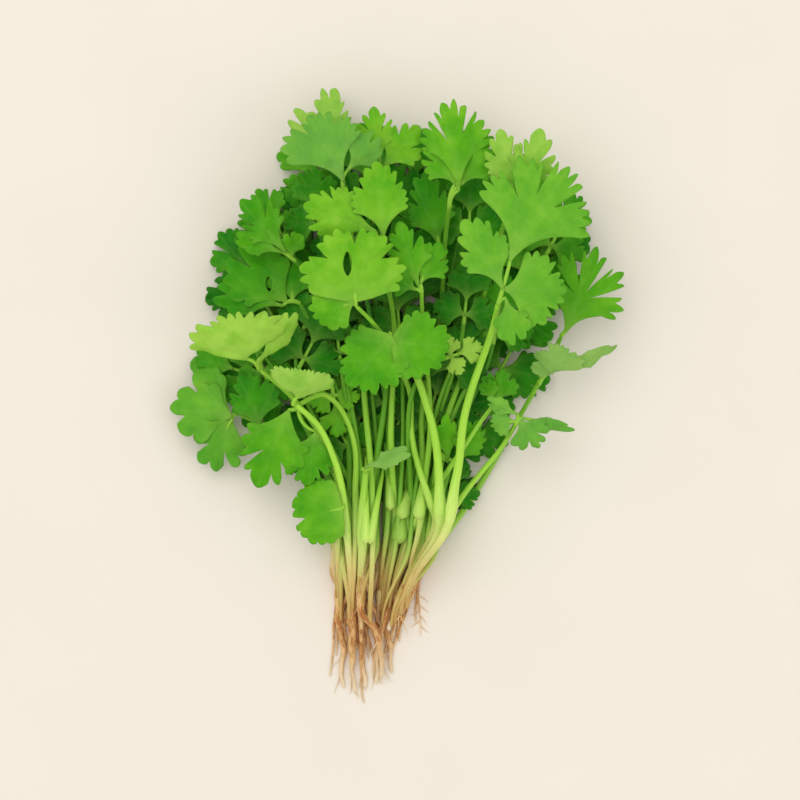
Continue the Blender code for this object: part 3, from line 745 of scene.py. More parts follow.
connect(surface, {"Base Color": coloured, "Roughness": satin.outputs["Result"],
                  "Normal": relief.outputs["Normal"], "IOR": 1.40,  # thin, watery tissue
                  "Specular IOR Level": 0.20})
glow = add(tree, "ShaderNodeBsdfTranslucent", {"Color": coloured, "Normal": relief.outputs["Normal"]})
thin = add(tree, "ShaderNodeMixShader", {0: 0.24, 1: surface.outputs["BSDF"], 2: glow.outputs["BSDF"]})
connect(tree.nodes["Material Output"], {"Surface": thin.outputs["Shader"]})
print("the blades' finish has", len(tree.nodes), "nodes")

# %% [markdown]
# ## The outline of a leaflet
#
# A coriander leaflet is a fan. It narrows to its stalk in a wedge. Its far margin is cut into a few lobes by
# deep slits, and each lobe ends in rounded teeth with sharp notches between them. So the outline starts as
# an ellipse round the fan's heart. Each lobe takes a share of it, and each tooth is a small dome on it. A
# point of the margin is drawn in towards the heart by how deep the notch or slit is there.

# %% Lobes, slits and teeth
TOOTH_DEPTH = 0.135  # of the reach from the heart, unless a leaflet has its own
SHOULDER = 104  # degrees from the tip to where the smooth wedge begins, unless a leaflet has its own
Leaflet = namedtuple("Leaflet", "along side angle length width lobes cut bite reach shoulder hole",
                     defaults=(TOOTH_DEPTH, (), SHOULDER, None))
HEART = 0.40  # of a leaflet's length, where its slits point
TOOTH_STEPS = 11  # points round each tooth
SLIT = 0.030  # half of a slit's width, as a share of the margin
# How uneven the teeth's widths and reaches and the lobes' reaches and cuts are, and a middle tooth's extra.
UNEVEN_WIDTH, UNEVEN_REACH, UNEVEN_LOBE, UNEVEN_CUT, WIDER = 0.22, 0.045, 0.07, 0.25, 0.25
FOOT_HALF = 0.55  # half the width of a leaflet's foot, in millimetres
FORK, BOW = 0.35, 0.10  # where main veins part, as a share of the way to the heart, and how they bow out
STALK_VEIN, MAIN_VEIN, SIDE_VEIN = 1.3, 1.0, 0.6  # how strong each vein is


def fan_margin(leaflet, size, chance):
    """The margin's points round from the right shoulder to the left, each lobe's middle, and tooth tips."""
    length, half = leaflet.length * size, leaflet.width * size / 2
    heart = np.array([0.0, HEART * length])
    teeth = [(lobe, tooth, count) for lobe, count in enumerate(leaflet.lobes) for tooth in range(count)]
    widths = np.array([1 + UNEVEN_WIDTH * chance.uniform(-1, 1) + WIDER * (tooth == (count - 1) / 2)
                       for _, tooth, count in teeth])
    edges = np.concatenate([[0], np.cumsum(widths)]) / widths.sum()
    first = [k for k, (_, tooth, _) in enumerate(teeth) if tooth == 0]
    lobe_edges = [edges[k] for k in first] + [1.0]
    lobe_reach = leaflet.reach or [1 + UNEVEN_LOBE * chance.uniform(-1, 1) for _ in leaflet.lobes]
    tooth_reach = UNEVEN_REACH * chance.uniform(-1, 1, len(teeth))
    cuts = [leaflet.cut * (1 + UNEVEN_CUT * chance.uniform(-1, 1)) for _ in leaflet.lobes]
    margin, tips = [], []
    for k, (lobe, tooth, count) in enumerate(teeth):
        for step in range(TOOTH_STEPS + (k == len(teeth) - 1)):
            x = step / TOOTH_STEPS
            s = edges[k] + (edges[k + 1] - edges[k]) * x
            across = (s - lobe_edges[lobe]) / (lobe_edges[lobe + 1] - lobe_edges[lobe])
            # Each tooth is a rounded dome, a lobe reaches less far at its sides, and slits part the lobes.
            notch = leaflet.bite * (1 - (1 - abs(2 * x - 1) ** 1.5) ** 0.82) * (1 + 0.3 * math.sin(9.1 * k))
            fall = (0.02 + 0.24 * leaflet.cut) * (2 * across - 1) ** 2
            slit = 0.0
            for b, at in enumerate(lobe_edges[1:-1]):
                slit = max(slit, cuts[b] * max(0.0, 1 - abs(s - at) / SLIT) ** 0.62)
            turn = math.radians(leaflet.shoulder) * (1 - 2 * s)
            reach = 1 / math.hypot(math.sin(turn) / half, math.cos(turn) / ((1 - HEART) * length))
            reach *= lobe_reach[lobe] * (1 - fall) * (1 - notch) * (1 - slit) * (1 + tooth_reach[k])
            point = heart + reach * np.array([math.sin(turn), math.cos(turn)])
            margin.append(point)
            if step == round(TOOTH_STEPS / 2):
                tips.append((lobe, point))
    middles = []
    for lobe in range(len(leaflet.lobes)):
        own = [point for which, point in tips if which == lobe]
        middles.append(own[len(own) // 2])
    return np.array(margin), heart, middles, tips


def leaflet_outline(leaflet, size, chance):
    """The whole outline in the leaflet's own plane, with the wedge down to the stalk, and its veins."""
    margin, heart, middles, tips = fan_margin(leaflet, size, chance)
    right, left = margin[0], margin[-1]
    t = np.linspace(0, 1, 14)[1:-1, None]
    belly = min(max((leaflet.shoulder - SHOULDER) / 34, 0.0), 1.0)
    bulge = np.array([0.20 + 0.55 * belly, 0.72 - 0.55 * belly])  # from a hollow wedge to a full one
    up, down = curve(t, (FOOT_HALF, 0), bulge * right, right), curve(t, left, bulge * left, (-FOOT_HALF, 0))
    outline = np.concatenate([[(FOOT_HALF, 0)], up, margin, down, [(-FOOT_HALF, 0)]])
    veins = []
    for lobe, tip in enumerate(middles):
        fork = heart * (FORK if len(leaflet.lobes) > 1 else 0)
        bow = (fork + tip) / 2 + BOW * np.array([tip[0], 0])
        main = curve(np.linspace(0, 0.96, 12)[:, None], fork, bow, tip)
        veins.append((main, MAIN_VEIN))
        for which, point in tips:
            if which == lobe and point is not tip:
                leave = main[5] if np.linalg.norm(point - tip) < 0.55 * size * leaflet.width else main[3]
                side_vein = np.array([leave, (leave + point) / 2, leave + 0.93 * (point - leave)])
                veins.append((side_vein, SIDE_VEIN))
    veins.append((np.array([(0, 0), heart * FORK, heart]), STALK_VEIN))
    return outline, veins, heart, middles


def away_from(places, path):
    """How far each place is from a line through the path's points."""
    found = np.full(len(places), np.inf)
    for a, b in zip(path[:-1], path[1:]):
        run = b - a
        t = np.clip(((places - a) @ run) / max(run @ run, 1e-9), 0, 1)
        found = np.minimum(found, np.linalg.norm(places - a - t[:, None] * run, axis=1))
    return found


def inside(places, outline):
    """Which places are inside the outline, by how often a line to the right of each crosses it."""
    x, y = places[:, 0][:, None], places[:, 1][:, None]
    x0, y0 = outline[:, 0][None, :], outline[:, 1][None, :]
    x1, y1 = np.roll(outline[:, 0], -1)[None, :], np.roll(outline[:, 1], -1)[None, :]
    spans = (y0 > y) != (y1 > y)
    with np.errstate(divide="ignore", invalid="ignore"):
        crossing = x < (x1 - x0) * (y - y0) / (y1 - y0) + x0
    return (spans & crossing).sum(axis=1) % 2 == 1


def hole_outline(hole, size):
    """The outline of a lens-shaped hole, where two lobes have grown together past it."""
    right, up, length, width, lean = hole
    turn = np.linspace(0, math.tau, 24, endpoint=False)
    across, ahead = 0.5 * width * np.sin(turn) * np.abs(np.sin(turn)) ** 0.4, 0.5 * length * np.cos(turn)
    lean = math.radians(lean)
    return size * np.column_stack([right + across * math.cos(lean) + ahead * math.sin(lean),
                                   up - across * math.sin(lean) + ahead * math.cos(lean)])


# %% [markdown]
# ## From an outline to a living surface
#
# The inside of each leaflet is filled with evenly spaced points, and a Delaunay triangulation joins them to
# the outline, which keeps every tooth crisp. Then the flat sheet gets its relief: the veins are sunk a
# fraction of a millimetre, the tissue between them swells, each lobe tips up or down a little as if it had
# grown on its own, and the margin ruffles. A lower sheet a third of a millimetre below it, and a rim
# between them, make it a solid blade.

# %% Filling and shaping one leaflet
NET, ROW = 0.72, 0.866  # between points inside a leaflet in millimetres, and between rows as a share of it
BLADE = 0.34  # thickness of a blade in millimetres
CLEAR_OF_MARGIN = 0.42  # of the net, which is as close as an inside point may come to the margin
VEIN_WIDTH, GROOVE_WIDTH, RIM_WIDTH = 0.42, 0.55, 0.38
GROOVE, SWELLING, SWELLING_WIDTH = 0.07, 0.11, 1.7  # the sunk veins and the raised tissue between them
TIPPING, CREASE, LOBE_HALF = 3.6, 1.1, 0.22  # how lobes tip and fold, and half of a lobe's angle in radians
WAVE, RIPPLE, FRILL = 5.5, 2.4, 2.2  # lengths of the waves, of the small ones, and how far in they fade
Sheet = namedtuple("Sheet", "flat lift faces loops vein rim base")


def waved(flat, length, seed):
    """Smooth noise between -1 and 1 at each point of a flat sheet."""
    return np.array([noise.noise(Vector((x / length, y / length, seed))) for x, y in flat])


def leaflet_sheet(leaflet, size, chance, net):
    """One leaflet as a net of points in its own plane, with the height and measures of each point."""
    outline, veins, heart, middles = leaflet_outline(leaflet, size, chance)
    low, high = outline.min(axis=0), outline.max(axis=0)
    rows = np.arange(low[1], high[1], net * ROW)
    filling = np.array([(x + (k % 2) * net / 2, y) for k, y in enumerate(rows)
                        for x in np.arange(low[0], high[0], net)])
    closed = np.concatenate([outline, outline[:1]])
    kept = inside(filling, outline) & (away_from(filling, closed) > net * CLEAR_OF_MARGIN)
    rings, edges, count = [outline], [], len(outline)
    if leaflet.hole:
        hole = hole_outline(leaflet.hole, size)
        round_hole = np.concatenate([hole, hole[:1]])
        kept &= ~inside(filling, hole) & (away_from(filling, round_hole) > net * CLEAR_OF_MARGIN)
        rings.append(hole)
        edges = [(count + k, count + (k + 1) % len(hole)) for k in range(len(hole))]
    everything = np.concatenate([*rings, filling[kept]])
    made = geometry.delaunay_2d_cdt([Vector(p) for p in everything], edges, [list(range(count))], 1, 1e-5)
    flat = np.array([tuple(p) for p in made[0]])
    faces = [tuple(face) for face in made[2]]
    margin_distance = away_from(flat, closed)
    if leaflet.hole:
        middles_of_faces = np.array([flat[list(face)].mean(axis=0) for face in faces])
        faces = [face for face, cut_out in zip(faces, inside(middles_of_faces, hole)) if not cut_out]
        margin_distance = np.minimum(margin_distance, away_from(flat, round_hole))
    kept_as = {old: new for new, olds in enumerate(made[3]) for old in olds}
    loops = [[kept_as[k] for k in range(count)]] + [[kept_as[a] for a, _ in edges]] * bool(edges)
    vein, groove, between = np.zeros(len(flat)), np.zeros(len(flat)), np.full(len(flat), 9.0)
    for path, strength in veins:
        distance = away_from(flat, path)
        vein = np.maximum(vein, strength / STALK_VEIN * np.exp(-((distance / VEIN_WIDTH) ** 2)))
        groove = np.maximum(groove, strength * np.exp(-((distance / GROOVE_WIDTH) ** 2)))
        between = np.minimum(between, distance)
    out = flat - heart
    reach = np.hypot(out[:, 0], out[:, 1])
    aim = np.arctan2(out[:, 0], out[:, 1])
    off_aim = np.abs(aim[:, None] - np.array([math.atan2(*(m - heart)) for m in middles])[None, :])
    share = np.exp(-((off_aim / LOBE_HALF) ** 2)) + 1e-9
    tips = (share @ chance.uniform(-1, 1, len(middles))) / share.sum(axis=1)
    scale = max(leaflet.length * size, 12.0)
    past = np.clip(reach / scale - 0.10, 0, 1)
    tipping = TIPPING * tips * past**1.5 * (len(middles) > 1)
    crease = CREASE * off_aim.min(axis=1) * reach / scale
    waves = waved(flat, WAVE, size * 1.7 + leaflet.angle)
    ripples = waved(flat, RIPPLE, size * 2.3 + leaflet.angle + 40)
    lift = (-GROOVE * groove + SWELLING * (1 - np.exp(-((between / SWELLING_WIDTH) ** 2))) + tipping + crease
            + 1.2 * np.exp(-margin_distance / FRILL) * waves + 0.6 * waves + 0.10 * ripples)
    base = np.exp(-np.clip(flat[:, 1] - 0.05 * scale, 0, None) / (0.16 * scale))
    return Sheet(flat, lift, faces, loops, vein, np.exp(-margin_distance / RIM_WIDTH), base)

# %% [markdown]
# ## The leaves in the bunch
#
# Each solid blade has its own place, size and tilt in the bunch, and the table gives them again, with the
# foot measured from the low corner of the solid's box. A leaf is one to five leaflets on a short stalk. The
# deeper leaves share two forms. A form says where each leaflet leaves the stalk, at what angle, how long
# and wide it is as a share of the leaf's size, how many teeth each lobe has, and how deep its slits are.

# %% The forms that many leaves share
def both_sides(along, angle, length, width, lobes, cut):
    """A leaflet on the left of the stalk and its mirror image on the right."""
    return [Leaflet(along, 0, -angle, length, width, lobes, cut),
            Leaflet(along, 0, angle, length, width, lobes, cut)]


SPRAY = [*both_sides(0.14, 84, 0.44, 0.42, (3, 3, 3), 0.45),
         *both_sides(0.42, 66, 0.44, 0.40, (3, 3, 3), 0.45),
         Leaflet(0.58, 0, 0, 0.42, 0.50, (3, 4, 3), 0.45)]
TRIO = [*both_sides(0.10, 76, 0.58, 0.62, (3, 3, 3), 0.35), Leaflet(0.34, 0, 0, 0.66, 0.78, (3, 4, 3), 0.40)]

# %% [markdown]
# The leaves on top are each seen whole, so each has its own shape. A leaflet's base is given by how far
# along and to the side of the leaf's foot it is, then come its angle, length and width, its teeth lobe by
# lobe from right to left, and the depth of its slits and of its teeth. Where the lobes aren't equally
# long, the last numbers say how far each one reaches.

# %% The leaves on top, one by one
OWN_SHAPES = {
    4: [(0.04, -0.07, 60, 1.30, 0.54, (2, 3), 0.10, 0.12, (), 92),
        (0.04, -0.10, -58, 0.87, 1.03, (2, 2, 2), 0.50, 0.20, (), 118),
        (0.04, -0.05, 16, 1.03, 1.00, (2, 2, 2), 0.24, 0.15, (), 112)],
    5: [(0.14, -0.22, 17, 0.84, 0.80, (4, 4, 3), 0.30, 0.14)],
    6: [(0.04, -0.01, 59, 0.43, 0.58, (3, 3), 0.24, 0.15),
        (0.10, -0.10, -14, 0.74, 0.40, (3, 3), 0.30, 0.16),
        (0.08, -0.05, 17, 0.74, 0.66, (4, 4), 0.42, 0.16, (), 112, (0.0, 0.24, 0.15, 0.06, 40))],
    7: [(0.13, -0.00, 9, 0.89, 0.58, (3, 3, 3), 0.40, 0.26),
        (0.16, -0.03, -23, 0.67, 0.30, (3, 3), 0.15, 0.12), (0.03, 0.01, 56, 0.33, 0.33, (3, 2), 0.30, 0.15)],
    8: [(0.26, -0.08, -30, 0.74, 0.42, (3, 3), 0.36, 0.22),
        (0.26, -0.01, 2, 0.78, 0.52, (3, 4, 3), 0.40, 0.24)],
    9: [(0.26, -0.04, -33, 0.54, 0.34, (3, 3), 0.30, 0.20),
        (0.26, 0.03, 37, 0.60, 0.52, (3, 3, 3), 0.35, 0.18),
        (0.30, -0.01, -12, 0.66, 0.45, (3, 3, 3), 0.45, 0.26)],
    10: [(0.23, 0.08, 25, 1.12, 0.76, (4, 4, 4), 0.30, 0.17)],
    11: [(0.19, 0.06, -34, 0.48, 0.38, (3, 3, 3), 0.40, 0.20),
         (0.19, 0.12, 34, 0.46, 0.42, (3, 3, 3), 0.40, 0.20),
         (0.13, 0.09, -5, 0.88, 0.76, (4, 4, 4), 0.62, 0.24, (), 84)],
    12: [(0.21, 0.02, -25, 0.69, 0.39, (3, 3, 3), 0.40, 0.22),
         (0.20, 0.06, 7, 0.71, 0.43, (3, 3, 3), 0.40, 0.22)],
    13: [(-0.07, 0.20, -34, 0.88, 0.44, (4, 4), 0.15, 0.18),
         (-0.02, 0.31, 1, 0.85, 0.64, (4, 4), 0.20, 0.20)],
    14: [(0.03, -0.02, -33, 0.45, 0.40, (3, 3), 0.30, 0.16),
         (0.03, 0.06, 1, 0.59, 0.73, (3, 3, 3), 0.35, 0.16)],
    15: [(0.01, 0.03, 11, 1.04, 1.05, (3, 3, 3, 3, 3), 0.72, 0.24, (1.0, 1.04, 1.02, 1.02, 1.08))],
    16: [(0.45, 0.17, -85, 0.41, 0.38, (3, 3), 0.10, 0.12, (), 106),
         (0.50, 0.20, 60, 1.14, 0.34, (4, 4), 0.10, 0.10, (), 104),
         (0.41, 0.14, 0, 0.62, 1.04, (4, 4, 4), 0.10, 0.14, (1.0, 1.0, 0.72), 100)],
    17: [(0.01, -0.06, -118, 0.47, 0.59, (4, 4), 0.20, 0.15),
         (0.16, -0.05, -86, 0.68, 0.35, (3, 3), 0.20, 0.16),
         (0.12, 0.06, 83, 1.12, 0.26, (3, 3), 0.15, 0.12),
         (0.08, 0.02, 122, 0.65, 0.90, (2, 2, 2), 0.40, 0.20, (1.0, 1.0, 0.9))],
    18: [(0.12, 0.02, 50, 0.84, 0.42, (3, 3), 0.12, 0.14, (), 84),
         (0.20, -0.12, -3, 0.74, 1.30, (4, 4, 3), 0.06, 0.17, (1.0, 1.0, 1.06), 102)],
    19: [(0.23, -0.22, 6, 0.68, 0.55, (3, 3, 3), 0.25, 0.18, (), 112),
         (0.02, 0.10, 15, 1.00, 0.80, (3, 3, 3), 0.46, 0.24, (1.0, 1.0, 1.0), 114)],
    20: [(0.16, 0.07, 5, 0.80, 1.66, (5, 6, 5), 0.05, 0.10, (), 98)],
    21: [(0.06, -0.05, 10, 0.87, 1.12, (6, 6), 0.34, 0.09, (), 132)],
    22: [(0.19, 0.14, 68, 0.55, 0.40, (3, 3), 0.30, 0.15),
         (0.11, 0.05, 4, 0.82, 0.88, (4, 4, 4), 0.24, 0.14, (0.94, 0.98, 1.14), 84)],
    23: [(0.07, 0.03, -34, 0.95, 0.66, (4, 4, 4), 0.22, 0.14, (), 92),
         (-0.02, 0.07, 31, 0.86, 0.72, (4, 5, 4), 0.20, 0.13)],
    24: [(0.01, -0.08, -54, 0.39, 0.45, (3, 3), 0.30, 0.16),
         (0.09, -0.01, 31, 0.57, 0.52, (3, 3, 3), 0.30, 0.18),
         (0.07, -0.04, -14, 0.85, 0.59, (3, 3, 3), 0.40, 0.20)],
    25: [(-0.00, -0.02, -105, 0.61, 0.70, (4, 4), 0.10, 0.13, (), 112),
         (-0.00, -0.00, 2, 0.97, 1.30, (4, 4, 4, 4), 0.24, 0.12, (1.02, 1, 1, 1.04), 122,
          (-0.08, 0.49, 0.31, 0.11, 0))],
    26: [(-0.02, 0.06, -2, 1.08, 0.46, (4, 4), 0.12, 0.12, (), 106)],
    27: [(-0.02, 0.00, 54, 0.92, 1.06, (4, 5, 4), 0.16, 0.13, (), 124),
         (0.06, 0.02, -65, 0.84, 1.00, (4, 5, 4), 0.14, 0.13, (), 124)],
    28: [(0.09, -0.00, -42, 0.55, 0.37, (4, 4, 3), 0.25, 0.15),
         (0.09, 0.00, 76, 0.45, 0.52, (4, 5, 4), 0.24, 0.15),
         (0.03, 0.04, 149, 0.35, 0.29, (3, 3), 0.30, 0.18),
         (0.29, -0.01, 5, 0.77, 0.86, (4, 4, 4, 4), 0.40, 0.18, (1.08, 1.08, 0.98, 0.95), 88)],
}

# %% Where each leaf lies and how green it is
Leaf = namedtuple("Leaf", "number size heading pitch roll cup droop foot tone")
SOLID_LEAVES = 30  # the leaves that have a solid of their own
LEAVES = [Leaf(*row) for row in (
    (1, 50, -30, 8, 0, -7, -14, (31.1, 7.8, 5.6), 0.26),
    (2, 62, -4, 10, 0, -7, -16, (25.4, 2.9, 6.8), 0.28),
    (3, 58, 38, 8, 0, -7, -16, (15.4, 11.4, 8.3), 0.34),
    (4, 25, -92, 6, 4, -8, -14, (24.6, 23.3, 8.4), 0.59),
    (5, 28, -30, 14, -8, -8, -12, (21.0, 0.6, 2.3), 0.28),
    (6, 42, -62, 6, 6, -7, -14, (39.5, 13.9, 8.9), 0.38),
    (7, 32, -48, 16, 0, -8, -14, (30.7, 5.3, 1.7), 0.52),
    (8, 34, -11, 14, 0, -6, -12, (21.2, 0.3, 0.4), 0.88),
    (9, 36, 4, 18, 0, -7, -16, (16.6, 0.2, 1.0), 0.68),
    (10, 27, -38, 26, 0, -7, -10, (19.7, 0.8, 0.4), 0.38),
    (11, 42, 0, 14, 0, -7, -18, (20.0, 0.1, 3.3), 0.63),
    (12, 43, 14, 18, 0, -7, -14, (14.4, 0.4, 0.4), 0.88),
    (13, 24, 36, 14, 20, -8, -8, (2.1, 0.6, 3.5), 0.55),
    (14, 22, 12, 14, 0, -7, -10, (11.5, 0.3, 0.9), 0.45),
    (15, 35, 12, 14, 0, -5, -12, (20.7, 0.3, 1.4), 0.59),
    (16, 24, 14, 52, 0, -10, -10, (13.5, 0.5, 0.3), 0.82),
    (17, 21, 20, 14, 0, -8, -14, (11.6, 10.8, 6.1), 0.60),
    (18, 32, -14, 52, 0, -10, -12, (28.0, 0.7, 0.3), 0.95),
    (19, 36, 187, -4, 0, -8, -14, (22.3, 32.5, 11.8), 0.49),
    (20, 19, 8, 50, 0, -12, -8, (7.2, 0.7, 0.3), 1.0),
    (21, 25, -112, 4, 4, -10, -14, (23.6, 17.8, 5.4), 0.56),
    (22, 37, -29, 16, 0, -6, -14, (26.3, 0.6, 1.8), 0.60),
    (23, 34, -34, 16, 0, -7, -14, (30.9, 0.6, 1.3), 0.68),
    (24, 30, -4, 20, 0, -7, -14, (15.1, 0.2, 0.8), 0.52),
    (25, 31, -4, 14, 0, -8, -14, (18.9, 10.1, 5.4), 0.68),
    (26, 20, 62, 14, -42, -8, -8, (0.4, 0.9, 3.1), 0.78),
    (27, 28, 164, 6, 0, -8, -14, (20.6, 23.6, 5.6), 0.55),
    (28, 56, 17, 10, 0, -7, -14, (16.6, 11.7, 4.3), 0.62),
    (29, 50, -22, 0, 0, -2, -4, (28.2, 6.3, 3.9), 0.14), (30, 50, 10, 0, 0, -2, -4, (18.4, 3.8, 3.9), 0.14),
)]


# Leaves with a dull, greyish upper side, as old or wilting ones have, and how dull each is.
DULL = {8: 0.3, 16: 0.9, 26: 0.8, 17: 0.4, 22: 0.45, 28: 0.15, 12: 0.2, 20: 0.25, 4: 0.2}
# Leaves that leave a stalk's side, so that their own stalk starts on top of it.
ON_SIDE = {5, 10, 13, 16, 21, 29, 30}


def leaflets_of(leaf):
    """The leaf's own leaflets, or else those of the form for its place in the bunch."""
    if leaf.number in OWN_SHAPES:
        return [Leaflet(*row) for row in OWN_SHAPES[leaf.number]]
    return SPRAY if leaf.number <= SOLID_LEAVES else TRIO


print(len(LEAVES), "leaves with", sum(len(leaflets_of(leaf)) for leaf in LEAVES), "leaflets")

# %% [markdown]
# A flat leaf looks like paper. Each leaf is bent in two ways: across, so that its sides hang, and along, so
# that its tip hangs. It is then rolled, pitched and headed as the solid is, and its foot is put at the
# solid's foot. The upper and lower sheets follow the bent leaf's own upright direction, so that the
# blade keeps its thickness.

# %% Bending and placing a leaf
BLADE_CLEARANCE = 0.15 * MM


def foot_of(leaf):
    """Where the leaf's foot is: on its solid, or for a leaf of the undergrowth, measured from the middle."""
    if leaf.number <= SOLID_LEAVES:
        return np.array(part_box(f"leaf_{leaf.number:02d}")[0]) + np.array(leaf.foot) * MM
    return np.array((middle.x, middle.y, solid_low.z)) + np.array(leaf.foot) * MM


def placed(flat, lift, leaf):
    """Points of the flat leaf, lifted off its plane by so much, as they lie in the bunch, in metres."""
    cup_share = math.radians(leaf.cup) / (leaf.size / 4)
    droop_share = math.radians(leaf.droop) / (leaf.size / 2)
    cup, droop = cup_share * flat[:, 0], droop_share * flat[:, 1]
    reach = 1 / droop_share - (1 - np.cos(cup)) / cup_share
    middle_sheet = np.column_stack([np.sin(cup) / cup_share, reach * np.sin(droop),
                                    1 / droop_share - reach * np.cos(droop)])
    upright = np.column_stack([-np.sin(cup), -np.cos(cup) * np.sin(droop), np.cos(cup) * np.cos(droop)])
    turn = (Matrix.Rotation(-math.radians(leaf.heading), 3, "Z")
            @ Matrix.Rotation(math.radians(leaf.pitch), 3, "X")
            @ Matrix.Rotation(math.radians(leaf.roll), 3, "Y"))
    shaped = (middle_sheet + upright * lift[:, None]) @ np.array(turn).T * MM + foot_of(leaf)
    shaped[:, 2] = np.maximum(shaped[:, 2], BLADE_CLEARANCE)
    return shaped


def on_leaf(flat, leaflet, leaf):
    """Points of a leaflet's own plane in the plane of the whole leaf."""
    turn = math.radians(leaflet.angle)
    u, v = flat[:, 0], flat[:, 1]
    return np.column_stack([leaflet.side * leaf.size + u * math.cos(turn) + v * math.sin(turn),
                            leaflet.along * leaf.size - u * math.sin(turn) + v * math.cos(turn)])


# %% Making the leaves
LEAF_STALK_STEP, LEAF_STALK_SIDES = 0.8, 10
LEAF_STALK_RADIUS, LEAF_STALK_LOSS = 0.98, 0.55  # at the foot, and how much thinner the far end is, mm
BEHIND_FOOT = -2.2  # where the small stalks start in the leaf's plane
PILE = 0.5  # how much higher each further leaflet lies, so that they cross less


def make_leaf(leaf, net=NET):
    """One leaf of the bunch: its leaflets as thin solid blades, and the small stalks that carry them."""
    chance = np.random.default_rng(100 + leaf.number)
    blade = Gathering("vein", "rim", "base", "under", "tone", "along", "grain")
    on_side = leaf.number in ON_SIDE
    stalk_runs = []
    for k, leaflet in enumerate(leaflets_of(leaf)):
        sheet = leaflet_sheet(leaflet, leaf.size, chance, net)
        lift = sheet.lift + PILE * k * np.clip(sheet.flat[:, 1] / 9, 0, 1)
        flat = on_leaf(sheet.flat, leaflet, leaf)
        count = len(flat)
        both = np.concatenate([placed(flat, lift + BLADE / 2, leaf), placed(flat, lift - BLADE / 2, leaf)])
        faces = [*sheet.faces, *(tuple(count + c for c in reversed(face)) for face in sheet.faces)]
        for loop in sheet.loops:
            faces += [(a, count + a, count + b, b) for a, b in zip(loop, loop[1:] + loop[:1])]
        blade.add(both, faces, vein=np.tile(sheet.vein, 2), rim=np.tile(sheet.rim, 2),
                  base=np.tile(sheet.base, 2), under=np.repeat((DULL.get(leaf.number, 0.0), 1.0), count),
                  tone=leaf.tone + 0.05 * chance.uniform(-1, 1))
        into = on_leaf(np.array([(0, 0), (0, 0.12), (0, 0.26)]) * leaflet.length * leaf.size, leaflet, leaf)
        t = np.linspace(0, 1, 8)[:-1, None]
        way = curve(t, (0, 0 if on_side else BEHIND_FOOT), (0, 0.75 * into[0][1]), into[0])
        stalk_runs.append(np.concatenate([way, into]))
    for run in stalk_runs:
        gaps = np.concatenate([[0], np.cumsum(np.linalg.norm(np.diff(run, axis=0), axis=1))])
        steps = np.linspace(0, gaps[-1], max(8, int(gaps[-1] / LEAF_STALK_STEP)))
        flat = np.column_stack([np.interp(steps, gaps, run[:, axis]) for axis in (0, 1)])
        share = np.linspace(0, 1, len(flat))
        radii = (LEAF_STALK_RADIUS - LEAF_STALK_LOSS * share) * MM
        dip = 1.6 * np.exp(-steps / 1.5) * on_side
        line = placed(flat, 0.10 - 0.35 * share - dip, leaf)
        tube = ringed_tube(line, domed(radii, LEAF_STALK_STEP * MM), LEAF_STALK_SIDES)
        blade.add(tube.points, tube.faces, finish=1, tone=0.5 + 0.4 * leaf.tone, along=0.6,
                  grain=skin_place(tube, radii, steps * MM, 0.1))
    piece = blade.piece(f"leaf_blade_{leaf.number:02d}", [leaf_skin, stalk_skin])
    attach(piece, "root")
    if leaf.number <= SOLID_LEAVES:
        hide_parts(f"leaf_{leaf.number:02d}")
    return len(blade.faces)


blade_faces = sum(make_leaf(leaf) for leaf in LEAVES)
print("the leaves have", blade_faces, "faces")

# %% [markdown]
# ## The undergrowth
#
# A bunch has more leaves than a hand can count: between and under the ones on top lie more leaves that fill
# every gap. They need no solids of their own, because the ones above them already hold up the pile. Each has
# three leaflets on a thin stalk of its own that runs back to the crown. Most are low and out of the light,
# and their low tones paint them the darkest greens, as painted shade; a coarser net of points is enough for
# them.

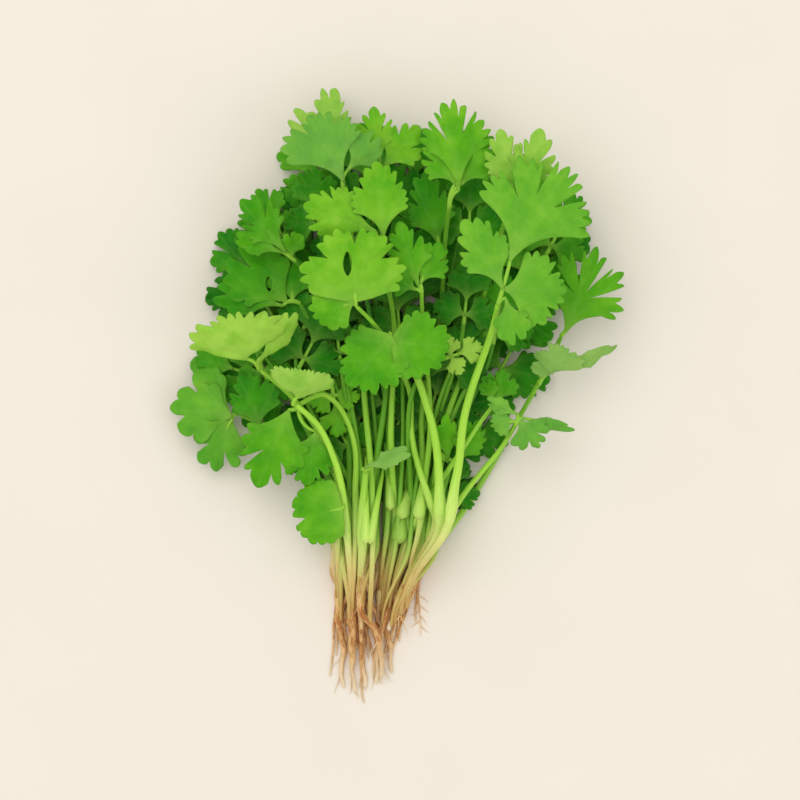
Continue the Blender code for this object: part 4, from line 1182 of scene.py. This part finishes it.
# %% Where the leaves of the undergrowth lie
# Low tones paint the leaves deep in the gaps dark green, as painted shade.
UNDERGROWTH = [  # x, y and height of the foot, heading, size, tone
    (-34, 79, 3, -18, 30, 0.45), (-16, 80, 5, -8, 30, 0.40), (4, 79, 3, 0, 29, 0.34),
    (24, 76, 5, 10, 32, 0.42), (41, 66, 3, 22, 33, 0.50), (-48, 50, 4, -34, 31, 0.36),
    (-33, 50, 2, -24, 38, 0.16), (-14, 50, 5, -8, 40, 0.12), (8, 52, 3, 2, 40, 0.16),
    (26, 48, 5, 14, 40, 0.20), (46, 42, 2, 30, 38, 0.30), (-51, 26, 3, -48, 31, 0.30),
    (-40, 20, 5, -30, 40, 0.12), (-20, 18, 3, -14, 40, 0.08), (0, 20, 5, 0, 40, 0.08),
    (20, 16, 3, 12, 40, 0.12), (38, 8, 4, 28, 34, 0.26), (-47, 0, 2, -56, 36, 0.30),
    (-27, -10, 4, -26, 38, 0.14), (-8, -12, 3, -6, 38, 0.06), (12, -14, 4, 10, 36, 0.08),
    (26, -18, 3, 30, 28, 0.24), (-62, 8, 5, -70, 24, 0.40), (-32, -26, 3, -44, 24, 0.20),
    (-18, -40, 2, -16, 36, 0.08), (-2, -42, 2, 2, 36, 0.05), (12, -40, 2, 16, 32, 0.10),
    (19, -44, 6, 4, 20, 0.24), (17, 15, 27, 72, 15, 1.0), (-29, 2, 13, 172, 19, 0.62),
    (-4, -16, 10, 20, 17, 0.30), (-22, -22, 9, -30, 20, 0.22), (-48, 62, 12, -30, 24, 0.40),
    (-34, 66, 16, -8, 26, 0.30), (-40, 28, 14, 30, 26, 0.22), (36, 22, 14, 10, 28, 0.36),
    (58, 58, 12, 28, 26, 0.52), (26, 64, 14, 2, 28, 0.26), (-20, 60, 18, -12, 22, 0.24),
    (-42, 12, 15, 28, 30, 0.16), (-26, 14, 14, -6, 30, 0.10), (-18, -20, 6, -8, 24, 0.06),
    (2, -24, 11, 8, 24, 0.04), (-8, -6, 9, 2, 26, 0.06), (10, -8, 12, 18, 24, 0.08),
    (18, 8, 15, 24, 24, 0.14), (-2, 24, 16, -4, 28, 0.10), (-58, 12, 12, 160, 20, 0.42),
    (24, 30, 18, 6, 24, 0.18),
]
UNDER_NET = 1.05  # between points of these blades, in millimetres
under_faces = 0
for k, (x, y, height, heading, size, tone) in enumerate(UNDERGROWTH):
    leaf = Leaf(SOLID_LEAVES + 1 + k, size, heading, 5, 0, -5, -8, (x, y, height), tone)
    under_faces += make_leaf(leaf, UNDER_NET)
print(len(UNDERGROWTH), "leaves of undergrowth with", under_faces, "faces")

# %% Their stalks, back to the crown
CROWN_Y = -54 * MM
CROWN_LEFT, CROWN_RIGHT = -26 * MM, 15 * MM
AIMING, SETTING_OFF = 0.35, 0.40  # the holds of a stalk's curve at the leaf and at the crown, of its span
chance = np.random.default_rng(31)
under_stalks = sorted(UNDERGROWTH, key=lambda leaf: math.atan2(leaf[0], leaf[1] - CROWN_Y / MM))
for k, (x, y, height, heading, size, tone) in enumerate(under_stalks):
    foot = np.array((middle.x + x * MM, middle.y + y * MM, height * MM))
    share = min(max(k / (len(under_stalks) - 1) + chance.uniform(-0.06, 0.06), 0.0), 1.0)
    crown = np.array((CROWN_LEFT + (CROWN_RIGHT - CROWN_LEFT) * share, CROWN_Y - chance.uniform(0, 6) * MM,
                      chance.uniform(3, 13) * MM))
    turn = math.radians(heading)
    span = np.linalg.norm(foot - crown)
    aim = np.array((math.sin(turn), math.cos(turn), 0.0)) * span * AIMING
    early = crown + np.array((chance.uniform(-0.12, 0.12), 1.0, 0.0)) * span * SETTING_OFF
    line = curve(np.linspace(0, 1, 60)[:, None], crown, early, foot - aim, foot)
    line, _, distance = smooth_line(line, np.ones(len(line)), STALK_STEP)
    radii = np.interp(distance, [0, distance[-1]], [chance.uniform(0.95, 1.4) * MM, 0.8 * MM])
    # A low tone paints a thin stalk mostly from the shaded ramp, as painted shade deep in the sheaf.
    make_stalk(f"thin_stalk_{k + 1:02d}", line, radii, 0.0, chance.uniform(0.0, 0.35),
               sides=15, ribs=5, number=k)
print(len(under_stalks), "thin stalks")
